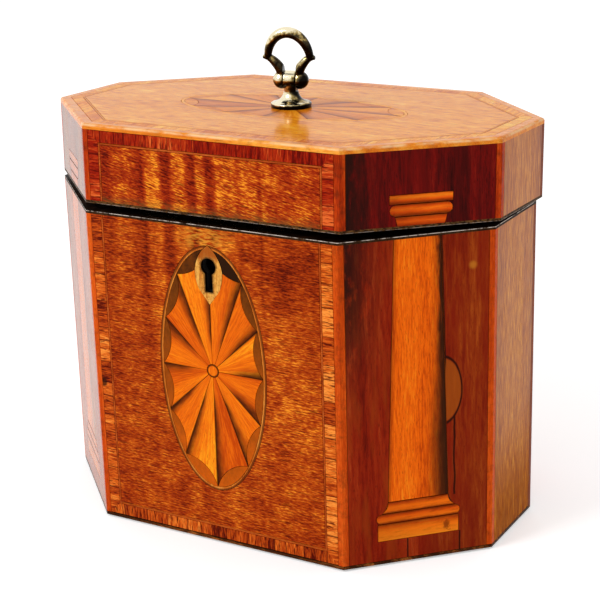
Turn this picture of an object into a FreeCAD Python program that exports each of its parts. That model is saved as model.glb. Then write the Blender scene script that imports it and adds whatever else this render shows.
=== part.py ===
import FreeCAD, Part
import math
import os

V = FreeCAD.Vector

# Octagonal tea caddy. Millimetres. The origin is the middle of the underside,
# X runs to the right along the front, Y to the back and Z up.

# Case, measured over its veneers
CASE_LENGTH = 144.0
CASE_DEPTH = 92.4
CASE_HEIGHT = 96.0
END_WIDTH = 29.6
WALL = 7.5
BOTTOM_BOARD = 6.0
BAIZE = 0.6
BAIZE_INSET = 1.2

# Lid: a little larger than the case, slipped to the right on its old hinges
# and standing slightly open
LID_HEIGHT = 22.7
LID_EXTRA_LENGTH = 1.2
LID_EXTRA_DEPTH = 1.6
LID_SHIFT = 1.0
LID_SHUT_GAP = 0.3
LID_AJAR_DEG = 1.4
TOP_BOARD = 5.0
EDGING_HEIGHT = 1.6
EDGING_WIDTH = 3.0
EDGING_ROUND = 0.9

# Sawn veneers and lines
VENEER = 1.0
KERF = 0.15
LIPPING = 0.8
BASE_LINE = 0.9
CORNER_LINE = 1.6
BAND_WIDTH = 3.3
BAND_PIECE = 17.0
STRING_WIDTH = 0.45

# Oval fan inlay, the same on the front and on the lid
FAN_TOP_MARGIN = 5.8
FAN_FOOT_MARGIN = 17.0
FAN_WIDTH = 34.9
FAN_RING = 0.9
FAN_PETALS = 12
FAN_SCALLOP = 2.2
FAN_BOSS_RADIUS = 1.9

# Inlaid column on each canted corner
COLUMN_JOINT = 0.3
PLINTH_LOW = 7.7
PLINTH_HEIGHT = 5.0
PLINTH_WIDTH = 23.8
TORUS_HEIGHT = 2.8
TORUS_WIDTH = 24.5
FLARE_HEIGHT = 3.1
FLARE_WIDTH = 21.6
SHAFT_FOOT_WIDTH = 17.6
SHAFT_TOP_WIDTH = 13.2
NECK_HEIGHT = 2.4
NECK_TOP_WIDTH = 14.4
ECHINUS_HEIGHT = 3.0
ECHINUS_WIDTH = 17.4
ABACUS_HEIGHT = 2.4
ABACUS_WIDTH = 17.6

# Keyhole and its escutcheon
ESCUTCHEON_RISE = 6.1
ESCUTCHEON_HEIGHT = 17.1
ESCUTCHEON_WIDTH = 8.8
KEYHOLE_DROP = 11.7
KEYHOLE_RADIUS = 2.4
KEYHOLE_SLOT_WIDTH = 2.5
KEYHOLE_SLOT_DROP = 7.4

# Lock in the front wall and the link plate it catches
LOCK_LENGTH = 38.0
LOCK_DROP = 22.0
LOCK_SKIN = 1.9
LOCK_PLATE = 0.8
SELVEDGE_EAR = 4.0
SELVEDGE_SETBACK = 0.9
SELVEDGE_THICKNESS = 1.6
LOCK_PIN_RADIUS = 0.9
LOOP_THICKNESS = 2.6
LOOP_SIDE = 0.832
LOOP_DROP = 8.0
LOOP_BAR = 1.2
LOOP_CLEARANCE = 0.4
FINGER_CLEARANCE = 0.25
FINGER_LENGTH = 4.4
FINGER_HEIGHT = 1.4
FINGER_DROP = 2.1
FINGER_START = 0.6
BOLT_THROW = 4.6
BOLT_POST = 2.0
BOLT_BAR = 2.2
BOLT_END_CLEARANCE = 0.9
SPRING_THICKNESS = 0.4
SPRING_FOOT = 6.08
SPRING_REACH = 11.4
SPRING_FALL = 4.4

# Butt hinges
HINGE_INSET = 1.5
HINGE_LENGTH = 24.0
LEAF_WIDTH = 8.2
LEAF_THICKNESS = 1.2
KNUCKLE_RADIUS = 1.6
KNUCKLE_GAP = 0.15
HINGE_PIN_RADIUS = 0.75
RUNNING_FIT = 0.05
TURN_CLEARANCE = 0.3

# Countersunk screws
SCREW_HEAD_RADIUS = 1.5
SCREW_HEAD_HEIGHT = 0.9
SCREW_RADIUS = 0.8
SCREW_LENGTH = 4.5
SCREW_MARGIN = 4.0

# Inside: lining boards, foil and the loose tea cover
LINING_BOARD = 2.0
LEDGE_DROP = 13.0
FOIL = 0.3
COVER_THICKNESS = 4.0
COVER_GAP = 1.0
KNOB_HEIGHT = 8.0
KNOB_RADIUS = 5.0
KNOB_SPIGOT_RADIUS = 2.0
LID_PAPER = 0.4

# Handle: turned post, swinging bail and its pin
HANDLE_TURN_DEG = 14.0
FOOT_RADIUS = 5.95
FOOT_EDGE = 1.3
FOOT_STEP_WIDTH = 0.6
FOOT_STEP_HEIGHT = 0.3
NECK_RADIUS = 2.2
NECK_RISE = 4.6
PIVOT_HEIGHT = 7.9
HUB_RADIUS = 2.7
HUB_WIDTH = 3.5
HUB_SIDE_GAP = 0.2
HANDLE_PIN_RADIUS = 0.8
BALL_RADIUS = 2.65
BALL_SEAT = 0.72
BAIL_LEAN_DEG = 14.0
BAIL_HALF_WIDTH = 6.3
BAIL_SHOULDER_HEIGHT = 6.4
BAIL_TOP_HEIGHT = 14.6
BAIL_END_RADIUS = 1.05
BAIL_TOP_RADIUS = 1.6
ARM_ROOT_RADIUS = 1.6
ARM_RADIUS = 1.4
ARM_TIP_RADIUS = 1.1
SPUR_REACH = 1.5
SPUR_RADIUS = 0.6
SHANK_RADIUS = 1.5
SHANK_END = 0.5
WASHER_RADIUS = 4.0
WASHER_THICKNESS = 0.8
NUT_WIDTH = 5.6
NUT_THICKNESS = 2.4

# Heights and depths that several pieces share
CORNER_RUN = (CASE_DEPTH - END_WIDTH) / 2
LID_CORNER_RUN = CORNER_RUN + LID_EXTRA_DEPTH / 2 * (2 - math.sqrt(2))
FLOOR = BAIZE + BOTTOM_BOARD
CASE_VENEER_LOW = BAIZE + BASE_LINE + KERF
CASE_VENEER_HIGH = CASE_HEIGHT - LIPPING
LID_LOW = CASE_HEIGHT + LID_SHUT_GAP
LID_TOP = LID_LOW + LID_HEIGHT
LID_VENEER_LOW = LID_LOW + LIPPING
LID_VENEER_HIGH = LID_TOP - EDGING_HEIGHT
TOP_BOARD_LOW = LID_TOP - VENEER - TOP_BOARD
INSIDE = VENEER + WALL
LEDGE_TOP = CASE_HEIGHT - LEDGE_DROP
FAN_LENGTH = CASE_HEIGHT - FAN_TOP_MARGIN - FAN_FOOT_MARGIN
FAN_CENTRE_HEIGHT = FAN_FOOT_MARGIN + FAN_LENGTH / 2
FRONT_INSIDE = INSIDE - CASE_DEPTH / 2
LOCK_DEPTH = WALL - LOCK_SKIN
LOCK_FACE = FRONT_INSIDE - LOCK_DEPTH
LOCK_MIDDLE = FRONT_INSIDE - LOCK_DEPTH / 2
LOOP_WIDTH = LOCK_DEPTH - 2 * LOCK_PLATE - 2 * LOOP_CLEARANCE
LOOP_EYE_WIDTH = LOOP_WIDTH - 2 * LOOP_SIDE
FINGER_ROOT = LOOP_THICKNESS / 2 + FINGER_START + FINGER_LENGTH
LOOP_OFFSET = LOCK_LENGTH / 2 - LOCK_PLATE - BOLT_END_CLEARANCE - BOLT_POST - FINGER_ROOT
SELVEDGE_LENGTH = LOCK_LENGTH + 2 * SELVEDGE_EAR
SELVEDGE_WIDTH = WALL - SELVEDGE_SETBACK
HINGE_Y = (CASE_DEPTH + LID_EXTRA_DEPTH) / 2 + TURN_CLEARANCE + KNUCKLE_RADIUS
HINGE_Z = CASE_HEIGHT + LID_SHUT_GAP / 2
BACK_INSIDE_HALF = CASE_LENGTH / 2 - CORNER_RUN - INSIDE * (math.sqrt(2) - 1)
HINGE_OFFSET = BACK_INSIDE_HALF - HINGE_INSET - HINGE_LENGTH / 2
KEYHOLE_HEIGHT = CASE_HEIGHT - KEYHOLE_DROP
ESCUTCHEON_TOP = KEYHOLE_HEIGHT + ESCUTCHEON_RISE

FRONT, FRONT_RIGHT, RIGHT, BACK_RIGHT, BACK, BACK_LEFT, LEFT, FRONT_LEFT = range(8)
ENDS = (RIGHT, LEFT)
CORNERS = (FRONT_RIGHT, BACK_RIGHT, BACK_LEFT, FRONT_LEFT)


def box(x0, x1, y0, y1, z0, z1):
    return Part.makeBox(x1 - x0, y1 - y0, z1 - z0, V(x0, y0, z0))


def outline(start, *steps):
    """A closed flat outline. A step is a point to reach, or (point on the arc, point to reach)."""
    edges = []
    here = start
    for step in steps + (start,):
        if isinstance(step[0], tuple):
            way, there = step
            edges.append(Part.Arc(V(*here), V(*way), V(*there)).toShape())
        else:
            there = step
            if there != here:
                edges.append(Part.makeLine(V(*here), V(*there)))
        here = there
    return Part.Wire(edges)


def plate(wire, thickness=VENEER):
    """A flat piece drawn in x and y, its face at z 0 and its back at -thickness."""
    piece = Part.Face(wire).extrude(V(0, 0, thickness))
    piece.translate(V(0, 0, -thickness))
    return piece


def rectangle(x0, x1, y0, y1):
    return outline((x0, y0), (x1, y0), (x1, y1), (x0, y1))


def oval(length, width):
    """An ellipse with its long axis up the page."""
    return Part.Wire(Part.Ellipse(V(0, length / 2, 0), V(-width / 2, 0, 0), V(0, 0, 0)).toShape())


def disc(radius, x=0.0, y=0.0):
    return Part.Wire(Part.makeCircle(radius, V(x, y, 0)))


class Octagon:
    """The plan of a box whose four corners are canted at 45 degrees."""

    def __init__(self, length, depth, corner_run, shift):
        self.half_length = length / 2
        self.half_depth = depth / 2
        self.corner_run = corner_run
        self.shift = shift

    def corners(self, inset):
        a = self.half_length - inset
        b = self.half_depth - inset
        run = self.corner_run - inset * (2 - math.sqrt(2))
        quarter = [(a - run, -b), (a, run - b), (a, b - run), (a - run, b)]
        mirrored = [(-x, y) for x, y in reversed(quarter)]
        points = mirrored[3:] + quarter + mirrored[:3]
        return [V(x + self.shift, y, 0) for x, y in points]

    def prism(self, inset, low, high):
        ring = self.corners(inset)
        solid = Part.Face(Part.makePolygon(ring + ring[:1])).extrude(V(0, 0, high - low))
        solid.translate(V(0, 0, low))
        return solid

    def strip(self, side, outer, inner, low, high, start=0.0, end=1.0):
        """A mitred length along one side, from `outer` to `inner` in from the face."""
        edges = []
        for inset in (outer, inner):
            ring = self.corners(inset)
            first = ring[side]
            run = ring[(side + 1) % 8] - first
            edges.append((first + run * start, first + run * end))
        ring = [edges[0][0], edges[0][1], edges[1][1], edges[1][0]]
        solid = Part.Face(Part.makePolygon(ring + ring[:1])).extrude(V(0, 0, high - low))
        solid.translate(V(0, 0, low))
        return solid

    def strips(self, outer, inner, low, high, sides=range(8)):
        return [self.strip(side, outer, inner, low, high) for side in sides]

    def width(self, side):
        ring = self.corners(0.0)
        return (ring[(side + 1) % 8] - ring[side]).Length

    def corner_line(self, corner, low, high):
        """The square line let into the angle between two sides."""
        ring = self.corners(0.0)
        here = ring[corner]
        back = (ring[corner - 1] - here).normalize()
        ahead = (ring[(corner + 1) % 8] - here).normalize()
        inner = self.corners(VENEER)[corner]
        left = here + back * CORNER_LINE
        right = here + ahead * CORNER_LINE
        in_left = left + V(back.y, -back.x, 0) * VENEER
        in_right = right + V(-ahead.y, ahead.x, 0) * VENEER
        ring = [here, right, in_right, inner, in_left, left]
        solid = Part.Face(Part.makePolygon(ring + ring[:1])).extrude(V(0, 0, high - low))
        solid.translate(V(0, 0, low))
        return solid

    def corner_lines(self, low, high):
        return [self.corner_line(corner, low, high) for corner in range(8)]

    def on_side(self, side, piece):
        """Stands a flat piece on a side: its x along the side from the middle, its y up."""
        ring = self.corners(0.0)
        first = ring[side]
        last = ring[(side + 1) % 8]
        along = (last - first).normalize()
        out = V(along.y, -along.x, 0)
        turn = FreeCAD.Rotation(along, V(0, 0, 1), out, "XYZ")
        placed = piece.copy()
        placed.Placement = FreeCAD.Placement((first + last) * 0.5, turn).multiply(piece.Placement)
        return placed


CASE = Octagon(CASE_LENGTH, CASE_DEPTH, CORNER_RUN, 0.0)
LID = Octagon(CASE_LENGTH + LID_EXTRA_LENGTH, CASE_DEPTH + LID_EXTRA_DEPTH, LID_CORNER_RUN, LID_SHIFT)


def cut(piece, tools):
    for tool in tools:
        piece = piece.cut(tool)
    return piece


# Oval fan

def fan_scallop(first, last):
    """Centre and radius of the circle that hollows the end of one petal."""
    chord = last - first
    middle = (first + last) * 0.5
    out = V(chord.y, -chord.x, 0).normalize()
    if out.dot(middle) < 0:
        out = out * -1
    radius = chord.Length ** 2 / (8 * FAN_SCALLOP) + FAN_SCALLOP / 2
    return middle + out * (radius - FAN_SCALLOP), radius


def fan_saw_cut(tip):
    side = V(-tip.y, tip.x, 0).normalize() * (KERF / 2)
    far = tip * 2
    ring = [side, far + side, far - side, side * -1]
    return plate(Part.makePolygon(ring + ring[:1]))


def fan_pieces(eye_radius):
    """Ring, petals and dark grounds of the oval, lying flat."""
    inner = (FAN_LENGTH - 2 * FAN_RING, FAN_WIDTH - 2 * FAN_RING)
    ring = plate(oval(FAN_LENGTH, FAN_WIDTH)).cut(plate(oval(*inner)))
    edge = oval(inner[0] - 2 * KERF, inner[1] - 2 * KERF)
    whole = plate(edge)
    tips = edge.Edges[0].discretize(FAN_PETALS + 1)
    eye = plate(disc(eye_radius + KERF))
    petals = []
    grounds = []
    for first, last in zip(tips, tips[1:]):
        centre, radius = fan_scallop(first, last)
        wedge = plate(Part.makePolygon([V(0, 0, 0), first * 2, last * 2, V(0, 0, 0)]))
        hollow = plate(disc(radius, centre.x, centre.y))
        tools = [hollow, eye, fan_saw_cut(first), fan_saw_cut(last)]
        petals.append(cut(wedge.common(whole), tools))
        grounds.append(whole.common(plate(disc(radius - KERF, centre.x, centre.y))))
    return ring, petals, grounds


# Escutcheon and keyhole

def escutcheon_outline(grow=0.0):
    """A tall lozenge with bowed upper sides, drawn down from its top tip."""
    half = ESCUTCHEON_WIDTH / 2 + grow
    tall = ESCUTCHEON_HEIGHT
    top = ESCUTCHEON_TOP + grow
    foot = ESCUTCHEON_TOP - tall - grow
    wide = top - 0.41 * tall
    shoulder = top - 0.76 * tall
    return outline(
        (0.0, top),
        ((-0.64 * half, top - 0.17 * tall), (-half, wide)),
        ((-0.95 * half, top - 0.60 * tall), (-0.74 * half, shoulder)),
        (0.0, foot),
        (0.74 * half, shoulder),
        ((0.95 * half, top - 0.60 * tall), (half, wide)),
        ((0.64 * half, top - 0.17 * tall), (0.0, top)),
    )


def keyhole_cutter():
    """Round hole and slot, long enough to pass through the front wall."""
    depth = 2 * (WALL + VENEER)
    slot_foot = KEYHOLE_HEIGHT - KEYHOLE_SLOT_DROP
    half = KEYHOLE_SLOT_WIDTH / 2
    slot = outline(
        (-0.9 * half, KEYHOLE_HEIGHT), (-half, slot_foot), (half, slot_foot), (0.9 * half, KEYHOLE_HEIGHT)
    )
    cutter = plate(disc(KEYHOLE_RADIUS, 0.0, KEYHOLE_HEIGHT), depth).fuse(plate(slot, depth))
    cutter = cutter.removeSplitter()
    cutter.translate(V(0, 0, VENEER))
    return CASE.on_side(FRONT, cutter)


def keyhole_escutcheon():
    return CASE.on_side(FRONT, plate(escutcheon_outline())).cut(keyhole_cutter())


# Banding, lines and fields of the two front panels

def frame_corners(octagon, closed, opened, inset):
    """Corner points of a three-sided frame: open top left, closed left, closed right, open right."""
    half = octagon.width(FRONT) / 2 - CORNER_LINE - inset
    turn = math.copysign(inset, opened - closed)
    return [(-half, opened), (-half, closed + turn), (half, closed + turn), (half, opened)]


def between(start, end, share):
    return (start[0] + (end[0] - start[0]) * share, start[1] + (end[1] - start[1]) * share)


def frame_strips(octagon, closed, opened, inset, width, piece_length):
    """Mitred strips of the frame, each laid in equal short pieces."""
    outer = frame_corners(octagon, closed, opened, inset)
    inner = frame_corners(octagon, closed, opened, inset + width)
    pieces = []
    for leg in range(3):
        run = math.dist(outer[leg], outer[leg + 1])
        count = max(1, round(run / piece_length))
        for step in range(count):
            shares = (step / count, (step + 1) / count)
            out = [between(outer[leg], outer[leg + 1], share) for share in shares]
            inn = [between(inner[leg], inner[leg + 1], share) for share in shares]
            piece = plate(outline(out[0], out[1], inn[1], inn[0]))
            pieces.append(octagon.on_side(FRONT, piece))
    return pieces


BAND_INSET = KERF
STRING_INSET = BAND_INSET + BAND_WIDTH + KERF
FIELD_INSET = STRING_INSET + STRING_WIDTH + KERF


def field_plate(octagon, closed, opened):
    return octagon.on_side(FRONT, plate(outline(*frame_corners(octagon, closed, opened, FIELD_INSET))))


def front_fan():
    """Everything let into the case front: field, ring, petals, grounds and boss."""
    notch = CASE.on_side(FRONT, plate(escutcheon_outline(KERF)))
    lift = V(0, FAN_CENTRE_HEIGHT, 0)

    def seat(piece):
        piece.translate(lift)
        return CASE.on_side(FRONT, piece).cut(notch)

    opening = seat(plate(oval(FAN_LENGTH + 2 * KERF, FAN_WIDTH + 2 * KERF)))
    field = field_plate(CASE, CASE_VENEER_LOW, CASE_VENEER_HIGH).cut(opening).cut(notch)
    ring, petals, grounds = fan_pieces(FAN_BOSS_RADIUS)
    boss = seat(plate(disc(FAN_BOSS_RADIUS)))
    return field, seat(ring), [seat(p) for p in petals], [seat(g) for g in grounds], boss


# Inlaid columns

def tapered(low, high, foot_width, top_width, grow):
    foot = foot_width / 2 + grow
    top = top_width / 2 + grow
    return outline((-foot, low - grow), (foot, low - grow), (top, high + grow), (-top, high + grow))


def round_ended(low, high, width, grow):
    radius = (high - low) / 2 + grow
    middle = (low + high) / 2
    half = width / 2 - (high - low) / 2
    return outline(
        (-half, middle - radius),
        (half, middle - radius),
        ((half + radius, middle), (half, middle + radius)),
        (-half, middle + radius),
        ((-half - radius, middle), (-half, middle - radius)),
    )


def flared(low, high, foot_width, top_width, grow):
    """Hollow-sided step from the shaft out to the moulding below it."""
    foot = foot_width / 2 + grow
    top = top_width / 2 + grow
    way = (0.72 * top + 0.28 * foot + grow, 0.62 * low + 0.38 * high + grow)
    return outline(
        (-foot, low - grow),
        (foot, low - grow),
        (way, (top, high + grow)),
        (-top, high + grow),
        ((-way[0], way[1]), (-foot, low - grow)),
    )


def column_base(grow=0.0):
    """Plinth, torus and flare at the foot of a column."""
    torus_low = PLINTH_LOW + PLINTH_HEIGHT + COLUMN_JOINT
    flare_low = torus_low + TORUS_HEIGHT + COLUMN_JOINT
    flare_high = flare_low + FLARE_HEIGHT
    return [
        plate(tapered(PLINTH_LOW, PLINTH_LOW + PLINTH_HEIGHT, PLINTH_WIDTH, PLINTH_WIDTH, grow)),
        plate(round_ended(torus_low, torus_low + TORUS_HEIGHT, TORUS_WIDTH, grow)),
        plate(flared(flare_low, flare_high, FLARE_WIDTH, SHAFT_FOOT_WIDTH, grow)),
    ]


def column_shaft(grow=0.0):
    low = PLINTH_LOW + PLINTH_HEIGHT + TORUS_HEIGHT + FLARE_HEIGHT + 3 * COLUMN_JOINT
    shaft = plate(tapered(low, CASE_VENEER_HIGH, SHAFT_FOOT_WIDTH, SHAFT_TOP_WIDTH, grow))
    return shaft.common(plate(rectangle(-CASE_DEPTH, CASE_DEPTH, 0, CASE_VENEER_HIGH)))


def column_capital(grow=0.0):
    """Neck, echinus and abacus on the lid, above the shaft."""
    neck_high = LID_VENEER_LOW + NECK_HEIGHT
    echinus_low = neck_high + COLUMN_JOINT
    abacus_low = echinus_low + ECHINUS_HEIGHT + COLUMN_JOINT
    neck = plate(tapered(LID_VENEER_LOW, neck_high, SHAFT_TOP_WIDTH, NECK_TOP_WIDTH, grow))
    return [
        neck.common(plate(rectangle(-CASE_DEPTH, CASE_DEPTH, LID_VENEER_LOW, LID_TOP))),
        plate(round_ended(echinus_low, echinus_low + ECHINUS_HEIGHT, ECHINUS_WIDTH, grow)),
        plate(tapered(abacus_low, abacus_low + ABACUS_HEIGHT, ABACUS_WIDTH, ABACUS_WIDTH, grow)),
    ]


def side_plate(octagon, side, low, high):
    half = octagon.width(side) / 2 - CORNER_LINE - KERF
    return plate(rectangle(-half, half, low, high))


def corner_panels(octagon, low, high, inlays):
    """Dark ground of each canted corner, with its inlays sawn out."""
    panels = []
    for side in CORNERS:
        ground = cut(side_plate(octagon, side, low, high), inlays)
        panels.append(octagon.on_side(side, ground))
    return panels


def on_corners(octagon, pieces):
    return [octagon.on_side(side, piece) for side in CORNERS for piece in pieces]


def plain_panels(octagon, low, high):
    """Veneers of the two ends and the back."""
    return [octagon.on_side(side, side_plate(octagon, side, low, high)) for side in (RIGHT, BACK, LEFT)]


# Screws

def screw(x, y, z, up):
    """A countersunk screw with its head level at z, driven up or down."""
    sense = 1 if up else -1
    start = V(x, y, z)
    head = Part.makeCone(SCREW_HEAD_RADIUS, SCREW_RADIUS, SCREW_HEAD_HEIGHT, start, V(0, 0, sense))
    shank = Part.makeCylinder(SCREW_RADIUS, SCREW_LENGTH, start, V(0, 0, sense))
    return head.fuse(shank).removeSplitter()


def hinge_screws(z, up):
    y = (HINGE_Y - LEAF_WIDTH + CASE_DEPTH / 2) / 2
    reach = HINGE_LENGTH / 2 - SCREW_MARGIN
    return [
        screw(side * HINGE_OFFSET + step * reach, y, z, up)
        for side in (-1, 1)
        for step in (-1, 0, 1)
    ]


def lock_screws(z, up):
    x = (LOCK_LENGTH + SELVEDGE_EAR) / 2
    return [screw(side * x, FRONT_INSIDE - SELVEDGE_WIDTH / 2, z, up) for side in (-1, 1)]


# Lock

def selvedge_recess(low, high):
    half = SELVEDGE_LENGTH / 2
    return box(-half, half, FRONT_INSIDE - SELVEDGE_WIDTH, FRONT_INSIDE, low, high)


def lock_pocket():
    half = LOCK_LENGTH / 2
    return box(-half, half, LOCK_FACE, FRONT_INSIDE, CASE_HEIGHT - LOCK_DROP, CASE_HEIGHT)


def loop_slot(side):
    half = LOOP_THICKNESS / 2 + LOOP_CLEARANCE
    depth = LOOP_WIDTH / 2 + LOOP_CLEARANCE
    x = side * LOOP_OFFSET
    low = CASE_HEIGHT - SELVEDGE_THICKNESS
    return box(x - half, x + half, LOCK_MIDDLE - depth, LOCK_MIDDLE + depth, low, CASE_HEIGHT)


def lock_selvedge():
    plain = selvedge_recess(CASE_HEIGHT - SELVEDGE_THICKNESS, CASE_HEIGHT)
    return cut(plain, [loop_slot(-1), loop_slot(1)] + lock_screws(CASE_HEIGHT, False))


def lock_case():
    """Back plate and three walls of the lock, open towards the keyhole."""
    half = LOCK_LENGTH / 2
    low = CASE_HEIGHT - LOCK_DROP
    high = CASE_HEIGHT - SELVEDGE_THICKNESS
    whole = box(-half, half, LOCK_FACE + LOCK_PLATE, FRONT_INSIDE, low, high)
    inner = half - LOCK_PLATE
    hollow = box(-inner, inner, LOCK_FACE, FRONT_INSIDE - LOCK_PLATE, low + LOCK_PLATE, high)
    return whole.cut(hollow)


def lock_cap():
    half = LOCK_LENGTH / 2
    low = CASE_HEIGHT - LOCK_DROP
    high = CASE_HEIGHT - SELVEDGE_THICKNESS
    return box(-half, half, LOCK_FACE, LOCK_FACE + LOCK_PLATE, low, high).cut(keyhole_cutter())


def lock_pin():
    """The pin that a hollow key turns on."""
    length = LOCK_DEPTH - LOCK_PLATE
    return Part.makeCylinder(LOCK_PIN_RADIUS, length, V(0, LOCK_FACE, KEYHOLE_HEIGHT), V(0, 1, 0))


def bolt_bar_span():
    """Low and high edge of the bolt's bar, below the loops."""
    high = LID_LOW - LOOP_DROP - 2 * LOOP_CLEARANCE
    return high - BOLT_BAR, high


def lock_bolt():
    """Bar with two fingers that slide through the loops when the key turns."""
    bar_low, bar_high = bolt_bar_span()
    finger_half = LOOP_EYE_WIDTH / 2 - FINGER_CLEARANCE
    finger_high = CASE_HEIGHT - FINGER_DROP
    post = -FINGER_ROOT
    tip = post + FINGER_LENGTH
    front = LOCK_MIDDLE - finger_half
    back = LOCK_MIDDLE + finger_half
    start = post - BOLT_POST - LOOP_OFFSET
    end = post + LOOP_OFFSET
    bolt = box(start, end, front, back, bar_low, bar_high)
    for x in (-LOOP_OFFSET, LOOP_OFFSET):
        bolt = bolt.fuse(box(x + post - BOLT_POST, x + post, front, back, bar_low, finger_high))
        bolt = bolt.fuse(box(x + post, x + tip, front, back, finger_high - FINGER_HEIGHT, finger_high))
    talon = box(-BOLT_THROW, -BOLT_THROW / 2, front, back, bar_low, bar_low + BOLT_BAR / 2)
    return bolt.cut(talon).removeSplitter()


def lock_spring():
    """A bent leaf, fast at the left wall, that rubs on the underside of the bolt."""
    bar_low = bolt_bar_span()[0]
    wall = LOCK_PLATE - LOCK_LENGTH / 2
    high = bar_low - KERF
    bend = wall + SPRING_FOOT
    foot = high - SPRING_FALL
    tip = wall + SPRING_REACH
    leaf = outline(
        (wall, foot),
        (bend, foot),
        (tip, high - SPRING_THICKNESS),
        (tip, high),
        (bend, foot + SPRING_THICKNESS),
        (wall, foot + SPRING_THICKNESS),
    )
    width = LOCK_DEPTH - 4 * LOCK_PLATE
    spring = plate(leaf, width)
    spring.translate(V(0, 0, width / 2))
    spring.Placement = FreeCAD.Placement(
        V(0, LOCK_MIDDLE, 0), FreeCAD.Rotation(V(1, 0, 0), 90)
    ).multiply(spring.Placement)
    return spring


def link_plate():
    """Plate under the front of the lid with two loops that drop into the lock."""
    link = selvedge_recess(LID_LOW, LID_LOW + SELVEDGE_THICKNESS)
    half = LOOP_THICKNESS / 2
    deep = LOOP_WIDTH / 2
    eye = LOOP_EYE_WIDTH / 2
    low = LID_LOW - LOOP_DROP
    for side in (-1, 1):
        x = side * LOOP_OFFSET
        loop = box(x - half, x + half, LOCK_MIDDLE - deep, LOCK_MIDDLE + deep, low, LID_LOW)
        hole = box(x - half, x + half, LOCK_MIDDLE - eye, LOCK_MIDDLE + eye, low + LOOP_BAR, LID_LOW)
        link = link.fuse(loop.cut(hole))
    return cut(link.removeSplitter(), lock_screws(LID_LOW, True))


# Hinges

def hinge_cylinder(x, knuckle, radius, grow):
    length = HINGE_LENGTH / 3
    start = x - HINGE_LENGTH / 2 + knuckle * length - grow
    return Part.makeCylinder(radius, length + 2 * grow, V(start, HINGE_Y, HINGE_Z), V(1, 0, 0))


def hinge_leaf(x, low, own, others, screws):
    """One leaf with its own knuckles, cleared round the knuckles of the other leaf."""
    half = HINGE_LENGTH / 2
    leaf = box(x - half, x + half, HINGE_Y - LEAF_WIDTH, HINGE_Y, low, low + LEAF_THICKNESS)
    for knuckle in others:
        leaf = leaf.cut(hinge_cylinder(x, knuckle, KNUCKLE_RADIUS + TURN_CLEARANCE, 0.0))
    for knuckle in own:
        leaf = leaf.fuse(hinge_cylinder(x, knuckle, KNUCKLE_RADIUS, -KNUCKLE_GAP))
    bore = hinge_cylinder(x, 1, HINGE_PIN_RADIUS + RUNNING_FIT, HINGE_LENGTH)
    return cut(leaf.removeSplitter(), [bore] + screws)


def leaf_recess(low, high):
    """The two shallow gains that let the leaves in flush."""
    front = HINGE_Y - LEAF_WIDTH
    half = HINGE_LENGTH / 2
    return [
        box(x - half, x + half, front, HINGE_Y, low, high) for x in (-HINGE_OFFSET, HINGE_OFFSET)
    ]


def case_leaves():
    low = CASE_HEIGHT - LEAF_THICKNESS
    screws = hinge_screws(CASE_HEIGHT, False)
    return [hinge_leaf(x, low, (0, 2), (1,), screws) for x in (-HINGE_OFFSET, HINGE_OFFSET)]


def lid_leaves():
    screws = hinge_screws(LID_LOW, True)
    return [hinge_leaf(x, LID_LOW, (1,), (0, 2), screws) for x in (-HINGE_OFFSET, HINGE_OFFSET)]


def hinge_pins():
    return [
        Part.makeCylinder(
            HINGE_PIN_RADIUS, HINGE_LENGTH, V(x - HINGE_LENGTH / 2, HINGE_Y, HINGE_Z), V(1, 0, 0)
        )
        for x in (-HINGE_OFFSET, HINGE_OFFSET)
    ]


# Case

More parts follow.
